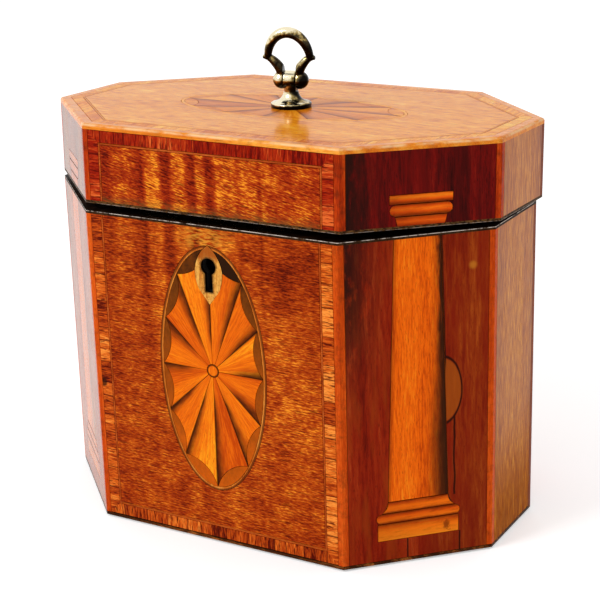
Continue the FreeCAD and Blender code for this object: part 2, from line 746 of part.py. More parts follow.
def case_pieces():
    screws = lock_screws(CASE_HEIGHT, False) + hinge_screws(CASE_HEIGHT, False)
    walls = CASE.strips(VENEER, INSIDE, BAIZE, CASE_VENEER_HIGH)
    gains = leaf_recess(CASE_HEIGHT - LEAF_THICKNESS, CASE_HEIGHT)
    recess = selvedge_recess(CASE_HEIGHT - SELVEDGE_THICKNESS, CASE_HEIGHT)
    field, ring, petals, grounds, boss = front_fan()
    lipping = CASE.strips(0.0, INSIDE, CASE_VENEER_HIGH, CASE_HEIGHT)
    lipping[FRONT] = lipping[FRONT].cut(recess).cut(lock_pocket())
    lipping[BACK] = cut(lipping[BACK], gains)
    low = CASE_VENEER_LOW
    high = CASE_VENEER_HIGH
    inlays = column_base(KERF) + [column_shaft(KERF)]
    plain = cut_each(plain_panels(CASE, low, high), gains)
    return {
        "carcase_front": cut(walls[FRONT], [lock_pocket(), recess, keyhole_cutter()] + screws),
        "carcase_back": cut(walls[BACK], gains + screws),
        "carcase_ends": [walls[side] for side in ENDS],
        "carcase_corners": [walls[side] for side in CORNERS],
        "bottom_board": CASE.prism(INSIDE, BAIZE, FLOOR),
        "base_baize": CASE.prism(BAIZE_INSET, 0.0, BAIZE),
        "base_line": CASE.strips(0.0, VENEER, BAIZE, BAIZE + BASE_LINE),
        "front_field_veneer": field,
        "front_crossbanding": frame_strips(CASE, low, high, BAND_INSET, BAND_WIDTH, BAND_PIECE),
        "front_stringing": frame_strips(CASE, low, high, STRING_INSET, STRING_WIDTH, CASE_LENGTH),
        "front_fan_ring": ring,
        "front_fan_petals": petals,
        "front_fan_grounds": grounds,
        "front_fan_boss": boss,
        "keyhole_escutcheon": keyhole_escutcheon(),
        "corner_ground_veneers": corner_panels(CASE, low, high, inlays),
        "column_shafts": on_corners(CASE, [column_shaft()]),
        "column_bases": on_corners(CASE, column_base()),
        "end_and_back_veneers": plain,
        "corner_lines": CASE.corner_lines(low, high),
        "case_lipping": lipping,
        "lining_boards": CASE.strips(INSIDE, INSIDE + LINING_BOARD, FLOOR, LEDGE_TOP),
        "foil_lining": foil_lining(),
        "lock_case": lock_case(),
        "lock_cap": lock_cap(),
        "lock_selvedge": lock_selvedge(),
        "lock_pin": lock_pin(),
        "lock_spring": lock_spring(),
        "hinge_case_leaves": case_leaves(),
        "hinge_pins": hinge_pins(),
        "case_screws": screws,
    }


def cut_each(pieces, tools):
    return [cut(piece, tools) for piece in pieces]


def foil_lining():
    outer = CASE.prism(INSIDE + LINING_BOARD, FLOOR, LEDGE_TOP)
    return outer.cut(CASE.prism(INSIDE + LINING_BOARD + FOIL, FLOOR + FOIL, LEDGE_TOP))


# Loose tea cover

def cover_board():
    board = CASE.prism(INSIDE + COVER_GAP, LEDGE_TOP, LEDGE_TOP + COVER_THICKNESS)
    hole = Part.makeCylinder(KNOB_SPIGOT_RADIUS, COVER_THICKNESS, V(0, 0, LEDGE_TOP))
    return board.cut(hole)


def cover_knob():
    """A turned button on a waisted stem, its spigot glued through the board."""
    low = LEDGE_TOP + COVER_THICKNESS
    axis_foot = V(0, 0, LEDGE_TOP)
    spigot_foot = V(KNOB_SPIGOT_RADIUS, 0, LEDGE_TOP)
    spigot_top = V(KNOB_SPIGOT_RADIUS, 0, low)
    foot = V(0.62 * KNOB_RADIUS, 0, low)
    waist = V(0.4 * KNOB_RADIUS, 0, low + 0.24 * KNOB_HEIGHT)
    brim = V(0.7 * KNOB_RADIUS, 0, low + 0.48 * KNOB_HEIGHT)
    edge = V(KNOB_RADIUS, 0, low + 0.68 * KNOB_HEIGHT)
    top = V(0, 0, low + KNOB_HEIGHT)
    rise = top.z - edge.z
    dome_radius = (KNOB_RADIUS ** 2 + rise ** 2) / (2 * rise)
    half_angle = math.asin(KNOB_RADIUS / dome_radius) / 2
    dome = top + V(math.sin(half_angle), 0, math.cos(half_angle) - 1) * dome_radius
    wire = Part.Wire([
        Part.makeLine(axis_foot, spigot_foot),
        Part.makeLine(spigot_foot, spigot_top),
        Part.makeLine(spigot_top, foot),
        Part.Arc(foot, waist, brim).toShape(),
        Part.makeLine(brim, edge),
        Part.Arc(edge, dome, top).toShape(),
        Part.makeLine(top, axis_foot),
    ])
    return Part.Face(wire).revolve(V(0, 0, 0), V(0, 0, 1), 360)


# Handle over the middle of the shut lid, its bail leaning a little to the front

def at_handle(piece, height):
    """Turns a piece with the handle and lifts it over the middle of the lid."""
    turn = FreeCAD.Rotation(V(0, 0, 1), HANDLE_TURN_DEG)
    place = FreeCAD.Placement(V(LID_SHIFT, 0, LID_TOP + height), turn)
    piece.Placement = place.multiply(piece.Placement)
    return piece


def shank_length():
    return VENEER + TOP_BOARD + LID_PAPER + WASHER_THICKNESS + NUT_THICKNESS + SHANK_END


def handle_post():
    """Turned foot and neck with a cross-bored hub above and a threaded shank below."""
    foot = V(FOOT_RADIUS, 0, 0)
    edge = V(FOOT_RADIUS, 0, FOOT_EDGE)
    step = V(FOOT_RADIUS - FOOT_STEP_WIDTH, 0, FOOT_EDGE + FOOT_STEP_HEIGHT)
    neck = V(NECK_RADIUS, 0, NECK_RISE)
    hollow = V(0.36 * step.x + 0.64 * neck.x - 0.1, 0, 0.74 * step.z + 0.26 * neck.z + 0.1)
    hub = V(0.9 * HUB_RADIUS, 0, PIVOT_HEIGHT)
    wire = Part.Wire([
        Part.makeLine(V(0, 0, 0), foot),
        Part.makeLine(foot, edge),
        Part.makeLine(edge, step),
        Part.Arc(step, hollow, neck).toShape(),
        Part.makeLine(neck, hub),
        Part.makeLine(hub, V(0, 0, PIVOT_HEIGHT)),
        Part.makeLine(V(0, 0, PIVOT_HEIGHT), V(0, 0, 0)),
    ])
    post = Part.Face(wire).revolve(V(0, 0, 0), V(0, 0, 1), 360)
    half = HUB_WIDTH / 2
    post = post.fuse(Part.makeCylinder(HUB_RADIUS, HUB_WIDTH, V(-half, 0, PIVOT_HEIGHT), V(1, 0, 0)))
    side = FOOT_RADIUS
    cheek = box(-side, -half, -side, side, NECK_RISE, 2 * PIVOT_HEIGHT)
    post = post.cut(cheek).cut(cheek.mirror(V(0, 0, 0), V(1, 0, 0)))
    length = shank_length()
    post = post.fuse(Part.makeCylinder(SHANK_RADIUS, length, V(0, 0, -length)))
    bore_radius = HANDLE_PIN_RADIUS + RUNNING_FIT
    bore = Part.makeCylinder(bore_radius, 2 * HUB_WIDTH, V(-HUB_WIDTH, 0, PIVOT_HEIGHT), V(1, 0, 0))
    return at_handle(post.cut(bore).removeSplitter(), 0.0)


def handle_washer():
    low = -VENEER - TOP_BOARD - LID_PAPER - WASHER_THICKNESS
    washer = Part.makeCylinder(WASHER_RADIUS, WASHER_THICKNESS, V(0, 0, low))
    return at_handle(washer.cut(Part.makeCylinder(SHANK_RADIUS, WASHER_THICKNESS, V(0, 0, low))), 0.0)


def handle_nut():
    high = -VENEER - TOP_BOARD - LID_PAPER - WASHER_THICKNESS
    half = NUT_WIDTH / 2
    low = high - NUT_THICKNESS
    nut = box(-half, half, -half, half, low, high)
    return at_handle(nut.cut(Part.makeCylinder(SHANK_RADIUS, NUT_THICKNESS, V(0, 0, low))), 0.0)


def bail_section(x, z, heading_deg, radius):
    """A round section of the bail, square to its run in the x-z plane."""
    c = math.cos(math.radians(heading_deg))
    s = math.sin(math.radians(heading_deg))
    wire = Part.Wire(Part.makeCircle(radius))
    turn = FreeCAD.Rotation(V(0, 1, 0), V(-s, 0, c), V(c, 0, s), "ZXY")
    wire.Placement = FreeCAD.Placement(V(x, 0, z), turn)
    return wire


def bail_arch():
    """The half-oval grip, thickest at the top."""
    rise = BAIL_TOP_HEIGHT - BAIL_SHOULDER_HEIGHT
    sections = []
    for angle in range(0, 181, 15):
        a = math.radians(angle)
        x = BAIL_HALF_WIDTH * math.cos(a)
        z = BAIL_SHOULDER_HEIGHT + rise * math.sin(a)
        heading = math.degrees(math.atan2(rise * math.cos(a), -BAIL_HALF_WIDTH * math.sin(a)))
        radius = BAIL_END_RADIUS + (BAIL_TOP_RADIUS - BAIL_END_RADIUS) * math.sin(a)
        sections.append(bail_section(x, z, heading, radius))
    return Part.makeLoft(sections, True)


def bail_arm(ball_x):
    """From the ball at the pin up and out to the spur at the shoulder."""
    shoulder = BAIL_SHOULDER_HEIGHT
    out = BAIL_HALF_WIDTH
    return Part.makeLoft([
        bail_section(ball_x, 0.1 * shoulder, 90, ARM_ROOT_RADIUS),
        bail_section(ball_x, 0.45 * shoulder, 84, ARM_ROOT_RADIUS),
        bail_section(0.35 * out + 0.65 * ball_x, 0.78 * shoulder, 50, ARM_RADIUS),
        bail_section(0.9 * out, 1.03 * shoulder, 22, ARM_TIP_RADIUS),
        bail_section(out + SPUR_REACH, 1.1 * shoulder, 5, SPUR_RADIUS),
    ], True)


def handle_pin():
    half = HUB_WIDTH / 2 + HUB_SIDE_GAP + BALL_RADIUS
    pin = Part.makeCylinder(HANDLE_PIN_RADIUS, 2 * half, V(-half, 0, 0), V(1, 0, 0))
    return at_handle(pin, PIVOT_HEIGHT)


def handle_bail():
    inner = HUB_WIDTH / 2 + HUB_SIDE_GAP
    ball_x = inner + BALL_SEAT
    ball = Part.makeSphere(BALL_RADIUS, V(ball_x, 0, 0))
    cheek = box(-inner, inner, -2 * BALL_RADIUS, 2 * BALL_RADIUS, -2 * BALL_RADIUS, BAIL_SHOULDER_HEIGHT)
    half = ball.fuse(bail_arm(ball_x)).cut(cheek)
    bail = bail_arch().fuse(half).fuse(half.mirror(V(0, 0, 0), V(1, 0, 0)))
    bail.rotate(V(0, 0, 0), V(1, 0, 0), BAIL_LEAN_DEG)
    return at_handle(bail, PIVOT_HEIGHT).cut(handle_pin())


# Lid, built shut

def lid_top_board():
    """Top of the lid, rebated round its edge for the boxwood edging."""
    lower = LID.prism(VENEER, TOP_BOARD_LOW, LID_TOP - EDGING_HEIGHT)
    upper = LID.prism(EDGING_WIDTH, LID_TOP - EDGING_HEIGHT, LID_TOP - VENEER)
    return lower.fuse(upper).removeSplitter()


def lid_edging():
    """Eight mitred lengths with a rounded outer arris."""
    pieces = []
    for side, strip in enumerate(LID.strips(0.0, EDGING_WIDTH, LID_VENEER_HIGH, LID_TOP)):
        first = LID.corners(0.0)[side]
        last = LID.corners(0.0)[(side + 1) % 8]
        middle = (first + last) * 0.5 + V(0, 0, LID_TOP)
        arris = [edge for edge in strip.Edges if (edge.CenterOfMass - middle).Length < KERF]
        pieces.append(strip.makeFillet(EDGING_ROUND, arris))
    return pieces


def lid_top_bands(inset, width, piece_length):
    """Strips round the top of the lid, each side laid in equal short pieces."""
    pieces = []
    for side in range(8):
        count = max(1, round(LID.width(side) / piece_length))
        for step in range(count):
            shares = (step / count, (step + 1) / count)
            pieces.append(LID.strip(side, inset, inset + width, LID_TOP - VENEER, LID_TOP, *shares))
    return pieces


def lid_fan():
    """Field, ring, petals and grounds of the lid top, the oval lying along the length."""
    place = FreeCAD.Placement(V(LID_SHIFT, 0, LID_TOP), FreeCAD.Rotation(V(0, 0, 1), -90))

    def seat(piece):
        piece.Placement = place.multiply(piece.Placement)
        return piece

    inset = EDGING_WIDTH + BAND_WIDTH + STRING_WIDTH + 3 * KERF
    field = LID.prism(inset, LID_TOP - VENEER, LID_TOP)
    field = field.cut(seat(plate(oval(FAN_LENGTH + 2 * KERF, FAN_WIDTH + 2 * KERF))))
    ring, petals, grounds = fan_pieces(SHANK_RADIUS)
    return field, seat(ring), [seat(p) for p in petals], [seat(g) for g in grounds]


def lid_pieces():
    screws = lock_screws(LID_LOW, True) + hinge_screws(LID_LOW, True)
    rim = LID.strips(VENEER, INSIDE, LID_VENEER_LOW, TOP_BOARD_LOW)
    gains = leaf_recess(LID_LOW, LID_LOW + LEAF_THICKNESS)
    recess = selvedge_recess(LID_LOW, LID_LOW + SELVEDGE_THICKNESS)
    lipping = LID.strips(0.0, INSIDE, LID_LOW, LID_VENEER_LOW)
    lipping[FRONT] = lipping[FRONT].cut(recess)
    lipping[BACK] = cut(lipping[BACK], gains)
    low = LID_VENEER_LOW
    high = LID_VENEER_HIGH
    shank = Part.makeCylinder(SHANK_RADIUS, 2 * LID_HEIGHT, V(LID_SHIFT, 0, LID_LOW))
    field, ring, petals, grounds = lid_fan()
    top_band = EDGING_WIDTH + KERF
    top_string = top_band + BAND_WIDTH + KERF
    stringing = frame_strips(LID, high, low, STRING_INSET, STRING_WIDTH, CASE_LENGTH)
    stringing += lid_top_bands(top_string, STRING_WIDTH, CASE_LENGTH)
    return {
        "lid_rim_front": cut(rim[FRONT], [recess] + screws),
        "lid_rim_back": cut(rim[BACK], gains + screws),
        "lid_rim_sides": [rim[side] for side in ENDS + CORNERS],
        "lid_top_board": lid_top_board().cut(shank),
        "lid_top_veneer": field,
        "lid_top_crossbanding": lid_top_bands(top_band, BAND_WIDTH, BAND_PIECE),
        "lid_top_edging": lid_edging(),
        "lid_fan_ring": ring,
        "lid_fan_petals": petals,
        "lid_fan_grounds": grounds,
        "lid_front_veneer": field_plate(LID, high, low),
        "lid_front_crossbanding": frame_strips(LID, high, low, BAND_INSET, BAND_WIDTH, BAND_PIECE),
        "lid_stringing": stringing,
        "lid_corner_grounds": corner_panels(LID, low, high, column_capital(KERF)),
        "column_capitals": on_corners(LID, column_capital()),
        "lid_end_and_back_veneers": cut_each(plain_panels(LID, low, high), gains),
        "lid_corner_lines": LID.corner_lines(low, high),
        "lid_lipping": lipping,
        "lid_paper": LID.prism(INSIDE, TOP_BOARD_LOW - LID_PAPER, TOP_BOARD_LOW).cut(shank),
        "link_plate": link_plate(),
        "hinge_lid_leaves": lid_leaves(),
        "lid_screws": screws,
        "handle_post": handle_post(),
        "handle_nut_and_washer": [handle_nut(), handle_washer()],
        "handle_bail": handle_bail(),
        "handle_pin": handle_pin(),
    }


def ajar(shape):
    """Swings a piece of the lid from shut to where it stands slightly open."""
    shape.rotate(V(0, HINGE_Y, HINGE_Z), V(-1, 0, 0), LID_AJAR_DEG)
    return shape


def save(name, pieces):
    solids = pieces if isinstance(pieces, list) else [pieces]
    shape = solids[0] if len(solids) == 1 else Part.makeCompound(solids)
    if name in LID_NODES:
        shape = ajar(shape)
    shape.exportStep(os.path.join("parts", name + ".step"))


os.makedirs("parts", exist_ok=True)
caddy = case_pieces()
caddy["lock_bolt"] = lock_bolt()
caddy["tea_cover_board"] = cover_board()
caddy["tea_cover_knob"] = cover_knob()
lid = lid_pieces()
LID_NODES = set(lid)
caddy.update(lid)
for name, pieces in caddy.items():
    save(name, pieces)
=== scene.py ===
import math
import bpy
from mathutils import Matrix, Vector


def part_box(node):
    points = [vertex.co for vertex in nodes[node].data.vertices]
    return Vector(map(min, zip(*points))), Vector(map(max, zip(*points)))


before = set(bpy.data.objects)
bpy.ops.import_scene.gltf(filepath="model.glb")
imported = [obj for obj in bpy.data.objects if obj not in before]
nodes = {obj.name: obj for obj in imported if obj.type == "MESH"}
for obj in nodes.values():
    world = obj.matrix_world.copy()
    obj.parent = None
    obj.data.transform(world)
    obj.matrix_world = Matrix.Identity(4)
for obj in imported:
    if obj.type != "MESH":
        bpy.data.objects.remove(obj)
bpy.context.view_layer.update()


# Carcase. The hidden box under the veneers: boards of plain pale softwood, mitred and
# glued at the eight angles, with a bottom board let in and a lid made the same way.

MM = 0.001


class Level:
    """A number, colour or place that varies over a surface; operators add Math nodes."""

    def __init__(self, finish, socket):
        self.finish = finish
        self.socket = socket

    def math(self, operation, *others):
        values = dict(enumerate((self, *others)))
        return self.finish.node("Math", {"operation": operation}, values)

    def step(self, low, high):
        """Runs smoothly from 0 at low to 1 at high."""
        limits = {"Value": self, "From Min": low, "From Max": high}
        return self.finish.node("MapRange", {"interpolation_type": "SMOOTHSTEP"}, limits)

    def share(self, low, high):
        """Runs straight from 0 at low to 1 at high, and stays at 0 and 1 beyond."""
        limits = {"Value": self, "From Min": low, "From Max": high}
        return self.finish.node("MapRange", {}, limits)

    def swing(self, width):
        """Turns 0 to 1 into a swing of that width about 0."""
        return (self - 0.5) * width

    def most(self, *others):
        """The greatest of several numbers at each point."""
        greatest = self
        for other in others:
            greatest = greatest.math("MAXIMUM", other)
        return greatest

    def __add__(self, other):
        return self.math("ADD", other)

    def __sub__(self, other):
        return self.math("SUBTRACT", other)

    def __rsub__(self, other):
        return self.finish.node("Math", {"operation": "SUBTRACT"}, {0: other, 1: self})

    def __mul__(self, other):
        return self.math("MULTIPLY", other)

    def __truediv__(self, other):
        return self.math("DIVIDE", other)

    def __pow__(self, other):
        return self.math("POWER", other)

    def __lt__(self, other):
        return self.math("LESS_THAN", other)

    def __gt__(self, other):
        return self.math("GREATER_THAN", other)

    def __neg__(self):
        return self.math("MULTIPLY", -1)

    def __abs__(self):
        return self.math("ABSOLUTE")

    __radd__ = __add__
    __rmul__ = __mul__


class Finish:
    """The shader of a material, or of the world, while it is made; node() adds any node."""

    def __init__(self, holder):
        holder.use_nodes = True
        self.holder = holder
        self.tree = holder.node_tree
        self.tree.nodes.clear()

    def node(self, kind, settings, inputs, output=0):
        made = self.tree.nodes.new("ShaderNode" + kind)
        for name, value in settings.items():
            if name == "stops":
                for place, colour in value[2:]:
                    made.color_ramp.elements.new(place)
                for element, (place, colour) in zip(made.color_ramp.elements, value):
                    element.position = place
                    element.color = colour
            else:
                setattr(made, name, value)
        for name, value in inputs.items():
            if isinstance(value, Level):
                self.tree.links.new(value.socket, made.inputs[name])
            else:
                made.inputs[name].default_value = value
        return Level(self, made.outputs[output]) if made.outputs else None

    def axes(self, vector):
        """The three parts of a vector: right, back and up."""
        return [self.node("SeparateXYZ", {}, {0: vector}, axis) for axis in range(3)]

    def place(self):
        """Where a point lies in the box's own frame, in millimetres: right, back and up."""
        spot = self.node("TexCoord", {}, {}, "Object")
        scaled = {0: spot, "Scale": 1 / MM}
        return self.axes(self.node("VectorMath", {"operation": "SCALE"}, scaled))

    def facing(self):
        """Which way a face looks in the box's own frame: right, back and up."""
        return self.axes(self.node("TexCoord", {}, {}, "Normal"))

    def tint(self):
        """A number from 0 to 1 that is the same all over one cut piece."""
        return self.node("NewGeometry", {}, {}, "Random Per Island")

    def noise(self, x, y, z, detail=2.0, roughness=0.5):
        spot = self.node("CombineXYZ", {}, {0: x, 1: y, 2: z})
        fineness = {"Vector": spot, "Scale": 1.0, "Detail": detail, "Roughness": roughness}
        return self.node("TexNoise", {}, fineness)

    def clouds(self, size, detail=2.0, roughness=0.5):
        """Noise of one size, in millimetres, all through a piece."""
        x, y, z = self.place()
        return self.noise(x / size, y / size, z / size, detail, roughness)

    def mottle(self, across, up, size, sheet, detail=2.0, roughness=0.5):
        """Noise on a face, of a size across and up it; each sheet is another pattern."""
        return self.noise(across / size[0], up / size[1], sheet, detail, roughness)

    def ramp(self, level, stops):
        return self.node("ValToRGB", {"stops": stops}, {"Fac": level})

    def mix(self, factor, first, second):
        """Goes from the first colour to the second as the factor goes from 0 to 1."""
        return self.node("Mix", {"data_type": "RGBA"}, {0: factor, 6: first, 7: second}, 2)


def paint(red, green, blue):
    """A screen colour of 0 to 255 as the shader's own linear colour."""
    channels = []
    for value in (red / 255, green / 255, blue / 255):
        channels.append(value / 12.92 if value <= 0.04045 else ((value + 0.055) / 1.055) ** 2.4)
    return (*channels, 1.0)


def tones(colours):
    """Colours spread evenly along a ramp, darkest first."""
    return [(place / (len(colours) - 1), colour) for place, colour in enumerate(colours)]


def timber(finish, along, across, deep, colours, band=6.0, streak=0.34, contrast=0.5, lift=0.0):
    """Colour and relief of sawn wood: growth bands, fine streaks and open pores in the grain."""
    band_length, streak_length = band * 12, streak * 9
    pore_length, pore_width, pore_share = 1.6, 0.2, 0.6
    bands = finish.noise(along / band_length, across / band, deep / band)
    streaks = finish.noise(along / streak_length, across / streak, deep / streak, 3.0, 0.6)
    pores = finish.noise(along / pore_length, across / pore_width, deep / pore_width, 1.0)
    pores = pores.step(0.58, 0.72)
    tone = bands.step(0.25, 0.75) * (1 - contrast) + streaks.step(0.28, 0.72) * contrast + lift
    colour = finish.ramp(tone, tones(colours))
    return finish.mix(pores * pore_share, colour, colours[0]), streaks * 0.5 - pores


def span(across, up, middle, reach=(1.0, 1.0)):
    """Distance from a middle, counted in reaches across and up: 1 all round an oval."""
    aside, rise = (across - middle[0]) / reach[0], (up - middle[1]) / reach[1]
    return (aside * aside + rise * rise).math("SQRT")


def surface(finish, colour, relief, roughness, bump=0.2, depth=0.05, **constants):
    """Closes a finish: colour, relief (depth in millimetres), roughness and fixed values."""
    height = {"Height": relief, "Strength": bump, "Distance": depth * MM}
    normal = finish.node("Bump", {}, height)
    sockets = {"Base Color": colour, "Roughness": roughness, "Normal": normal}
    sockets.update({name.replace("_", " "): value for name, value in constants.items()})
    shader = finish.node("BsdfPrincipled", {}, sockets)
    finish.node("OutputMaterial", {}, {"Surface": shader})
    return finish.holder


def finish_of(name):
    return Finish(bpy.data.materials.new(name))


def dress(material, *names):
    for name in names:
        nodes[name].material_slots[0].material = material


PINE_TONES = (paint(62, 34, 16), paint(108, 66, 34), paint(140, 94, 54))
HOLE_MIDDLE, HOLE_REACH = (0.0, 80.0), (5.0, 10.0)
KEYHOLE_PAINTED_SHADE = paint(8, 5, 3)
FRONT_BOARDS = -30.0

board = finish_of("carcase_board")
x, y, z = board.place()
colour, relief = timber(board, x, z, y, PINE_TONES, band=4.0)
# Painted shade: the front board is painted near black round the keyhole, behind the escutcheon.
keyhole_shade = 1 - span(x, z, HOLE_MIDDLE, HOLE_REACH).step(0.9, 1.3)
colour = board.mix(keyhole_shade * (y < FRONT_BOARDS), colour, KEYHOLE_PAINTED_SHADE)
dress(
    surface(board, colour, relief, 0.7),
    "carcase_front", "carcase_back", "carcase_ends", "carcase_corners", "bottom_board",
    "lid_rim_front", "lid_rim_back", "lid_rim_sides", "lid_top_board")


# Base baize. Green woollen cloth glued under the bottom board, cut a little smaller than
# the box, so that it shows only as a dark line in the shadow under the foot.

WOOL_TONES = (paint(16, 34, 20), paint(38, 70, 40), paint(70, 98, 58))

baize = finish_of("green_baize")
nap = baize.clouds(0.3, 4.0, 0.7)
worn = baize.clouds(18.0, 3.0)
wool = baize.ramp(nap * 0.6 + worn * 0.4, tones(WOOL_TONES))
cloth = surface(
    baize, wool, nap, 0.95, bump=0.8, depth=0.3, Sheen_Weight=0.4, Sheen_Roughness=0.5)
dress(cloth, "base_baize")


# Field veneers. Sawn mahogany with a ripple, the grain laid level and the ripple upright across
# it; front and lid front come from one leaf, the lid top from a plainer one. Old spirit polish.

FRONT_LEFT, FRONT_WIDTH = -40.6, 81.2
RIPPLES = (  # distance from the leaf's left edge, and how light the wood is there
    (0, 0.3), (8.5, 0.12), (11, 0.65), (15, 0.6), (18, 0.4), (20.4, 0.1), (22, 0.85),
    (25.8, 0.95), (27.4, 0.2), (29.4, 0.1), (30.8, 0.8), (34.4, 0.85), (36, 0.15), (37.6, 0.15),
    (38.6, 0.8), (40.6, 0.75), (42, 0.15), (43.6, 0.2), (45, 0.9), (49.8, 0.85), (51.4, 0.45),
    (53, 0.75), (57, 0.75), (58, 0.35), (59, 0.8), (62, 0.65), (66, 0.5), (70, 0.62),
    (74, 0.45), (77, 0.55), (81.2, 0.3),
)
RIPPLE_SWAY, SWAY_SIZE = 3.0, (40.0, 18.0)
DASH_SIZE, SPECK_SIZE, CLOUD_SIZE, LINE_SIZE = (2.8, 0.46), (1.3, 0.36), (9.0, 5.0), (5.0, 0.36)
LINE_SHARE = 0.72
POLISH_GLOSS = 1.1
RUB_SIZE, RUB_ROUGHNESS, POLISH_RIPPLE = 9.0, 0.65, 3.5


def polish(finish, colour, relief, roughness=0.2, gloss=POLISH_GLOSS, wax=0.0):
    """Old spirit polish: hard and clear, a little uneven, and duller where it has worn."""
    rubbed = finish.clouds(RUB_SIZE, 4.0, RUB_ROUGHNESS)
    ripple = finish.clouds(POLISH_RIPPLE, 1.0)
    return surface(
        finish, colour, relief + ripple * 1.2, rubbed * 0.2 + (roughness - 0.08), bump=0.16,
        IOR=gloss, Coat_Weight=wax, Coat_Roughness=0.12, Coat_IOR=1.35)


def near(across, up, middle, reach):
    """1 at a place on a face, falling smoothly to 0 at its reach across and up."""
    return 1 - span(across, up, middle, reach).step(0, 1)


def rippled_leaf(name, colours, strength, speckle, slant, shade=None):
    """Level grain in short dashes, slanted a little, crossed by the leaf's upright ripples."""
    field = finish_of(name)
    x, _, z = field.place()
    sway = field.mottle(x, z, SWAY_SIZE, 3.7).swing(RIPPLE_SWAY)
    stops = [(place / FRONT_WIDTH, (light, light, light, 1.0)) for place, light in RIPPLES]
    ripples = field.ramp((x + sway - FRONT_LEFT) / FRONT_WIDTH, stops)
    level = z + x * slant
    dashes = field.mottle(x, level, DASH_SIZE, 0.0, 3.0, 0.6).step(0.36, 0.64)
    specks = field.mottle(x, level, SPECK_SIZE, 5.0, 1.0).step(0.34, 0.66)
    clouds = field.mottle(x, level, CLOUD_SIZE, 9.0, 3.0).step(0.25, 0.75)
    lines = field.mottle(x, level, LINE_SIZE, 12.0, 1.0).step(0.56, 0.68)
    tone = (ripples - 0.5) * strength(z) * (clouds * 0.5 + 0.75) + 0.5
    tone = tone + dashes.swing(speckle) + specks.swing(speckle * 0.8) + clouds.swing(0.36)
    if shade:
        tone = tone + shade(x, z)
    colour = field.mix(lines * LINE_SHARE, field.ramp(tone, tones(colours)), colours[0])
    return field, colour, dashes * 0.5 - lines


FRONT_TONES = (
    paint(86, 16, 1), paint(142, 40, 4), paint(172, 62, 9), paint(204, 92, 18), paint(248, 146, 36))
FRONT_SPECKLE, FRONT_SLANT = 0.38, 0.03
FRONT_RIPPLE, TOP_RIPPLE, RIPPLE_RISE = 0.14, 0.34, (48.0, 90.0)
FRONT_SHADES = (  # middle, reach and how much lighter the wood is there
    ((23.0, 86.0), (24.0, 16.0), -0.3), ((-18.0, 84.0), (14.0, 14.0), -0.15),
    ((27.0, 46.0), (14.0, 34.0), 0.16),
)
# Painted sheen: a golden patch mixed into the front's colour near its top middle.
SHEEN_MIDDLE, SHEEN_REACH, SHEEN_GRAIN = (-1.0, 92.0), (11.0, 6.0), (2.4, 0.6)
SHEEN_GOLD, SHEEN_SHARE = paint(255, 176, 56), 0.55


def front_strength(z):
    """The front's ripples show most near its top edge."""
    return z.step(*RIPPLE_RISE) * TOP_RIPPLE + FRONT_RIPPLE


def front_shade(x, z):
    """The front is darkest at its upper right, and a little beside the top of the oval."""
    return sum(near(x, z, middle, reach) * lighter for middle, reach, lighter in FRONT_SHADES)


front, colour, relief = rippled_leaf(
    "front_field", FRONT_TONES, front_strength, FRONT_SPECKLE, FRONT_SLANT, front_shade)
x, _, z = front.place()
# Painted sheen near the top middle, broken up by the grain.
painted_sheen = near(x, z, SHEEN_MIDDLE, SHEEN_REACH) ** 0.6
painted_sheen = painted_sheen * front.mottle(x, z, SHEEN_GRAIN, 2.0, 3.0).step(0.36, 0.62)
colour = front.mix(painted_sheen * SHEEN_SHARE, colour, SHEEN_GOLD)
dress(polish(front, colour, relief), "front_field_veneer")

LID_FRONT_TONES = (
    paint(80, 10, 1), paint(140, 30, 4), paint(168, 52, 9), paint(200, 84, 16), paint(250, 152, 36))
LID_RIPPLE, LID_SPECKLE, LID_SLANT = 0.66, 0.4, 0.2
DUST_RISE, DUST_GRAIN = (98.8, 102.6), (3.0, 0.5)
DUST_BROWN, DUST_SHARE = paint(116, 76, 30), 0.75

lid_front, colour, relief = rippled_leaf(
    "lid_front_field", LID_FRONT_TONES, lambda z: LID_RIPPLE, LID_SPECKLE, LID_SLANT)
x, _, z = lid_front.place()
dust = lid_front.mottle(x, z, DUST_GRAIN, 7.0, 3.0, 0.7).step(0.3, 0.6)
dust = dust * (1 - z.step(*DUST_RISE))
colour = lid_front.mix(dust * DUST_SHARE, colour, DUST_BROWN)
dress(polish(lid_front, colour, relief), "lid_front_veneer")

# Painted sheen: these tones are paler than the lid top's wood, standing in for the haze of light on
# its polish.
LID_TOP_SHEEN_TONES = (paint(186, 88, 8), paint(228, 130, 16), paint(252, 164, 30), paint(255, 206, 82))
LID_TOP_SLANT, LID_TOP_GLOSS = 0.04, 1.13

lid_top = finish_of("lid_top_field")
x, y, _ = lid_top.place()
colour, relief = timber(
    lid_top, x, y + x * LID_TOP_SLANT, 0.0, LID_TOP_SHEEN_TONES, band=7.0, streak=0.7, contrast=0.74)
dress(polish(lid_top, colour, relief, roughness=0.1, gloss=LID_TOP_GLOSS), "lid_top_veneer")


# Crossbanding. A border of short lengths cut across the grain, each from its own offcut so
# that the pieces differ a little, mitred at the corners and glued beside the stringing.

BAND_TONES = (
    paint(84, 12, 1), paint(166, 56, 8), paint(200, 82, 18), paint(228, 110, 30),
    paint(252, 148, 58))
RED_BAND_TONES = (
    paint(92, 8, 1), paint(146, 22, 3), paint(168, 40, 8), paint(190, 62, 18), paint(228, 104, 42))
